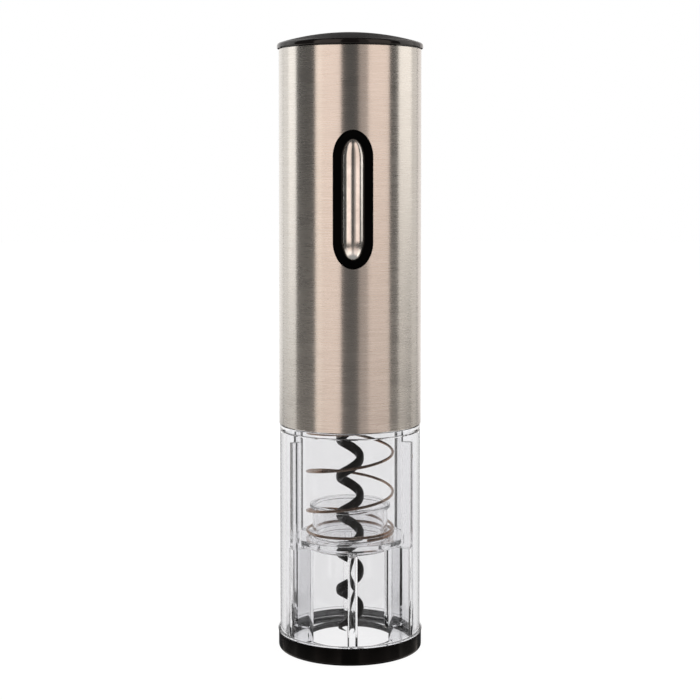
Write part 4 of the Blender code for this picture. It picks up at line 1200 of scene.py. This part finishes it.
@dataclass
class Studio:
    """The pale floor, the soft lights round the opener, the white surroundings and the camera."""

    panels: tuple[Panel, ...] = (
        Panel(-172, -137, 1.0, "fffdfb"), Panel(-136, -117, 1.0, "fffdfb"),
        Panel(-117, -96, 1.5, "fffdfb", -0.1),
        Panel(-57, -46, 1.5, "ffeee3"), Panel(-46, -14, 1.3, "ffeadf"), Panel(14, 29, 0.45, "ffeadf"),
        Panel(29, 66, 1.3, "ffeadf", -0.1), Panel(84, 117, 1.6, "fffaf5", 0.05),
        Panel(117, 138, 0.85, "fffaf5"),
        Panel(140, 172, 0.9, "fff8f4"), Panel(-140, -96, 1.3, "fff4ea", -1.6, -0.55),
        Panel(-96, -57, 1.0, "fff4ea", -1.6, -0.55), Panel(-57, -14, 1.3, "ffeadf", -1.6, -0.55),
        Panel(-14, 14, 0.3, "ffeadf", -1.6, -0.55), Panel(14, 66, 0.9, "ffeadf", -1.6, -0.55),
        Panel(66, 86, 1.3, "fff4ea", -1.6, -0.55), Panel(86, 140, 1.3, "fff4ea", -1.6, -0.55),
        Panel(-40, 40, 0.08, "fff4ea", -0.55, -0.2))
    distance: float = 1.6
    under: float = 0.3
    under_size: float = 3.6
    under_drop: float = 1.0
    floor_radius: float = 3.0
    floor_tone: str = "505050"
    floor_glow: tuple[float, float] = (0.97, 1.0)  # by the opener and away from it
    floor_reach: tuple[float, float] = (0.05, 0.6)
    floor_mirrored: float = 0.03
    shade: float = 0.075
    backdrop: float = 1.0
    camera_distance: float = 552.95 * MM
    camera_height: float = 173.7 * MM
    camera_side: float = -2.4  # degrees from the front
    camera_tilt: float = 2.61  # degrees down
    lens: float = 79.12
    shift: float = -0.1624

    def floor(self) -> None:
        """Lay a plain pale floor."""
        deselect()
        bpy.ops.mesh.primitive_circle_add(vertices=96, radius=self.floor_radius, fill_type="NGON")
        floor = bpy.context.object
        floor.name = "floor"
        paint = bpy.data.materials.new("matt_white_floor")
        paint.use_nodes = True
        tree = paint.node_tree
        tree.nodes.clear()
        place = add_node(tree, "ShaderNodeTexCoord")
        away = add_node(tree, "ShaderNodeVectorMath", {0: place.outputs["Object"]}, operation="LENGTH")
        near, far = self.floor_reach
        low, high = self.floor_glow
        glow = add_node(tree, "ShaderNodeMapRange", {"Value": away.outputs["Value"], "From Min": near,
                                                     "From Max": far, "To Min": low, "To Max": high})
        matt = add_node(tree, "ShaderNodeBsdfDiffuse", {"Color": linear(self.floor_tone)})
        path = add_node(tree, "ShaderNodeLightPath")
        bounced = add_node(tree, "ShaderNodeMath", {0: path.outputs["Ray Depth"],
                                                    1: path.outputs["Transmission Depth"]},
                           operation="SUBTRACT")
        mirrored = add_node(tree, "ShaderNodeMath", {0: bounced, 1: 1.0, 2: 0.5}, operation="COMPARE")
        across = add_node(tree, "ShaderNodeSeparateXYZ", {0: place.outputs["Object"]})
        ahead = add_node(tree, "ShaderNodeMath", {0: across.outputs["Y"], 1: 0.0}, operation="LESS_THAN")
        dim = add_node(tree, "ShaderNodeMath", {0: mirrored, 1: ahead}, operation="MULTIPLY")
        strength = add_node(tree, "ShaderNodeMapRange", {"Value": dim, "To Min": glow,
                                                         "To Max": self.floor_mirrored})
        light = add_node(tree, "ShaderNodeEmission", {"Strength": strength})
        both = add_node(tree, "ShaderNodeAddShader", {0: matt, 1: light})
        add_node(tree, "ShaderNodeOutputMaterial", {"Surface": both})
        floor.data.materials.append(paint)
        floor.visible_glossy = False
        floor.visible_shadow = False

    def lights(self) -> None:
        """Stand the panels round the opener, facing it."""
        for k, panel in enumerate(self.panels):
            middle = math.radians((panel.start + panel.stop) / 2 + self.camera_side)
            half = math.radians((panel.stop - panel.start) / 2)
            lamp = bpy.data.lights.new(f"panel_{k + 1}", "AREA")
            lamp.shape = "RECTANGLE"
            lamp.size = 2 * self.distance * math.tan(half)
            lamp.size_y = panel.head - panel.foot
            lamp.color = linear(panel.colour)[:3]
            lamp.energy = panel.strength * math.pi * lamp.size * lamp.size_y
            self.place(lamp, (self.distance * math.sin(middle), -self.distance * math.cos(middle),
                              (panel.head + panel.foot) / 2), (math.pi / 2, 0, middle))
        lamp = bpy.data.lights.new("table_bounce", "AREA")
        lamp.shape = "DISK"
        lamp.size = self.under_size
        lamp.energy = self.under * math.pi * math.pi * (lamp.size / 2) ** 2
        self.place(lamp, (0, 0, -self.under_drop), (math.pi, 0, 0))

    def place(self, lamp: Light, spot: tuple[float, float, float],
              turn: tuple[float, float, float]) -> None:
        """Put a lamp in the scene, unseen by the camera and through clear plastic.

        Args:
            lamp: the lamp.
            spot: where it stands.
            turn: how it is turned.
        """
        light = bpy.data.objects.new(lamp.name, lamp)
        light.location = spot
        light.rotation_euler = turn
        light.visible_camera = False
        light.visible_transmission = False
        bpy.context.collection.objects.link(light)

    def surroundings(self) -> None:
        """Make what is seen past the opener white, and what it mirrors between the panels dark."""
        world = bpy.data.worlds.new("studio")
        world.use_nodes = True
        tree = world.node_tree
        tree.nodes.clear()
        path = add_node(tree, "ShaderNodeLightPath")
        bounced = add_node(tree, "ShaderNodeMath", {0: path.outputs["Ray Depth"],
                                                    1: path.outputs["Transmission Depth"]},
                           operation="SUBTRACT")
        straight = add_node(tree, "ShaderNodeMath", {0: bounced, 1: 1.5}, operation="LESS_THAN")
        place = add_node(tree, "ShaderNodeTexCoord")
        way = add_node(tree, "ShaderNodeSeparateXYZ", {0: place.outputs["Generated"]})
        behind = add_node(tree, "ShaderNodeMath", {0: way.outputs["Y"], 1: 0.15}, operation="GREATER_THAN")
        twice = add_node(tree, "ShaderNodeMath", {0: bounced, 1: 2.5}, operation="GREATER_THAN")
        bright = add_node(tree, "ShaderNodeMath", {0: behind, 1: twice}, operation="MAXIMUM")
        through = add_node(tree, "ShaderNodeMath", {0: bright, 1: path.outputs["Is Transmission Ray"]},
                           operation="MULTIPLY")
        seen = add_node(tree, "ShaderNodeMath", {0: straight, 1: through}, operation="MAXIMUM")
        strength = add_node(tree, "ShaderNodeMapRange", {"Value": seen, "To Min": self.shade,
                                                         "To Max": self.backdrop})
        back = add_node(tree, "ShaderNodeBackground", {"Color": (1, 1, 1, 1), "Strength": strength})
        add_node(tree, "ShaderNodeOutputWorld", {"Surface": back})
        world.cycles.sampling_method = "NONE"
        bpy.context.scene.world = world

    def camera(self) -> None:
        """Set the camera up, level with the switch and a little to its left."""
        turn = math.radians(self.camera_side)
        lens = bpy.data.cameras.new("camera")
        lens.lens = self.lens
        lens.sensor_width = 36.0
        lens.shift_y = self.shift
        lens.clip_start = 0.01
        camera = bpy.data.objects.new("camera", lens)
        camera.location = (self.camera_distance * math.sin(turn), -self.camera_distance * math.cos(turn),
                           self.camera_height)
        camera.rotation_euler = (math.pi / 2 - math.radians(self.camera_tilt), 0, turn)
        bpy.context.collection.objects.link(camera)
        bpy.context.scene.camera = camera

    def build(self) -> None:
        """Set up the studio."""
        self.floor()
        self.lights()
        self.surroundings()
        self.camera()
        scene = bpy.context.scene
        scene.view_settings.view_transform = "Standard"
        scene.cycles.max_bounces = 24
        scene.cycles.transmission_bounces = 24
        scene.cycles.glossy_bounces = 8
        scene.cycles.transparent_max_bounces = 16
        log.info("studio: %d panels", len(self.panels))


def main() -> None:
    """Dress the frame, build each sub-assembly and set up the studio."""
    Inside().build()
    switch = Switch()
    switch.build()
    Sleeve().build(switch)
    Cap().build()
    Guide().build()
    Cup().build()
    ReturnSpring().build()
    Worm().build()
    Studio().build()


if __name__ == "__main__":
    logging.basicConfig(level=logging.INFO, format="%(message)s")
    main()
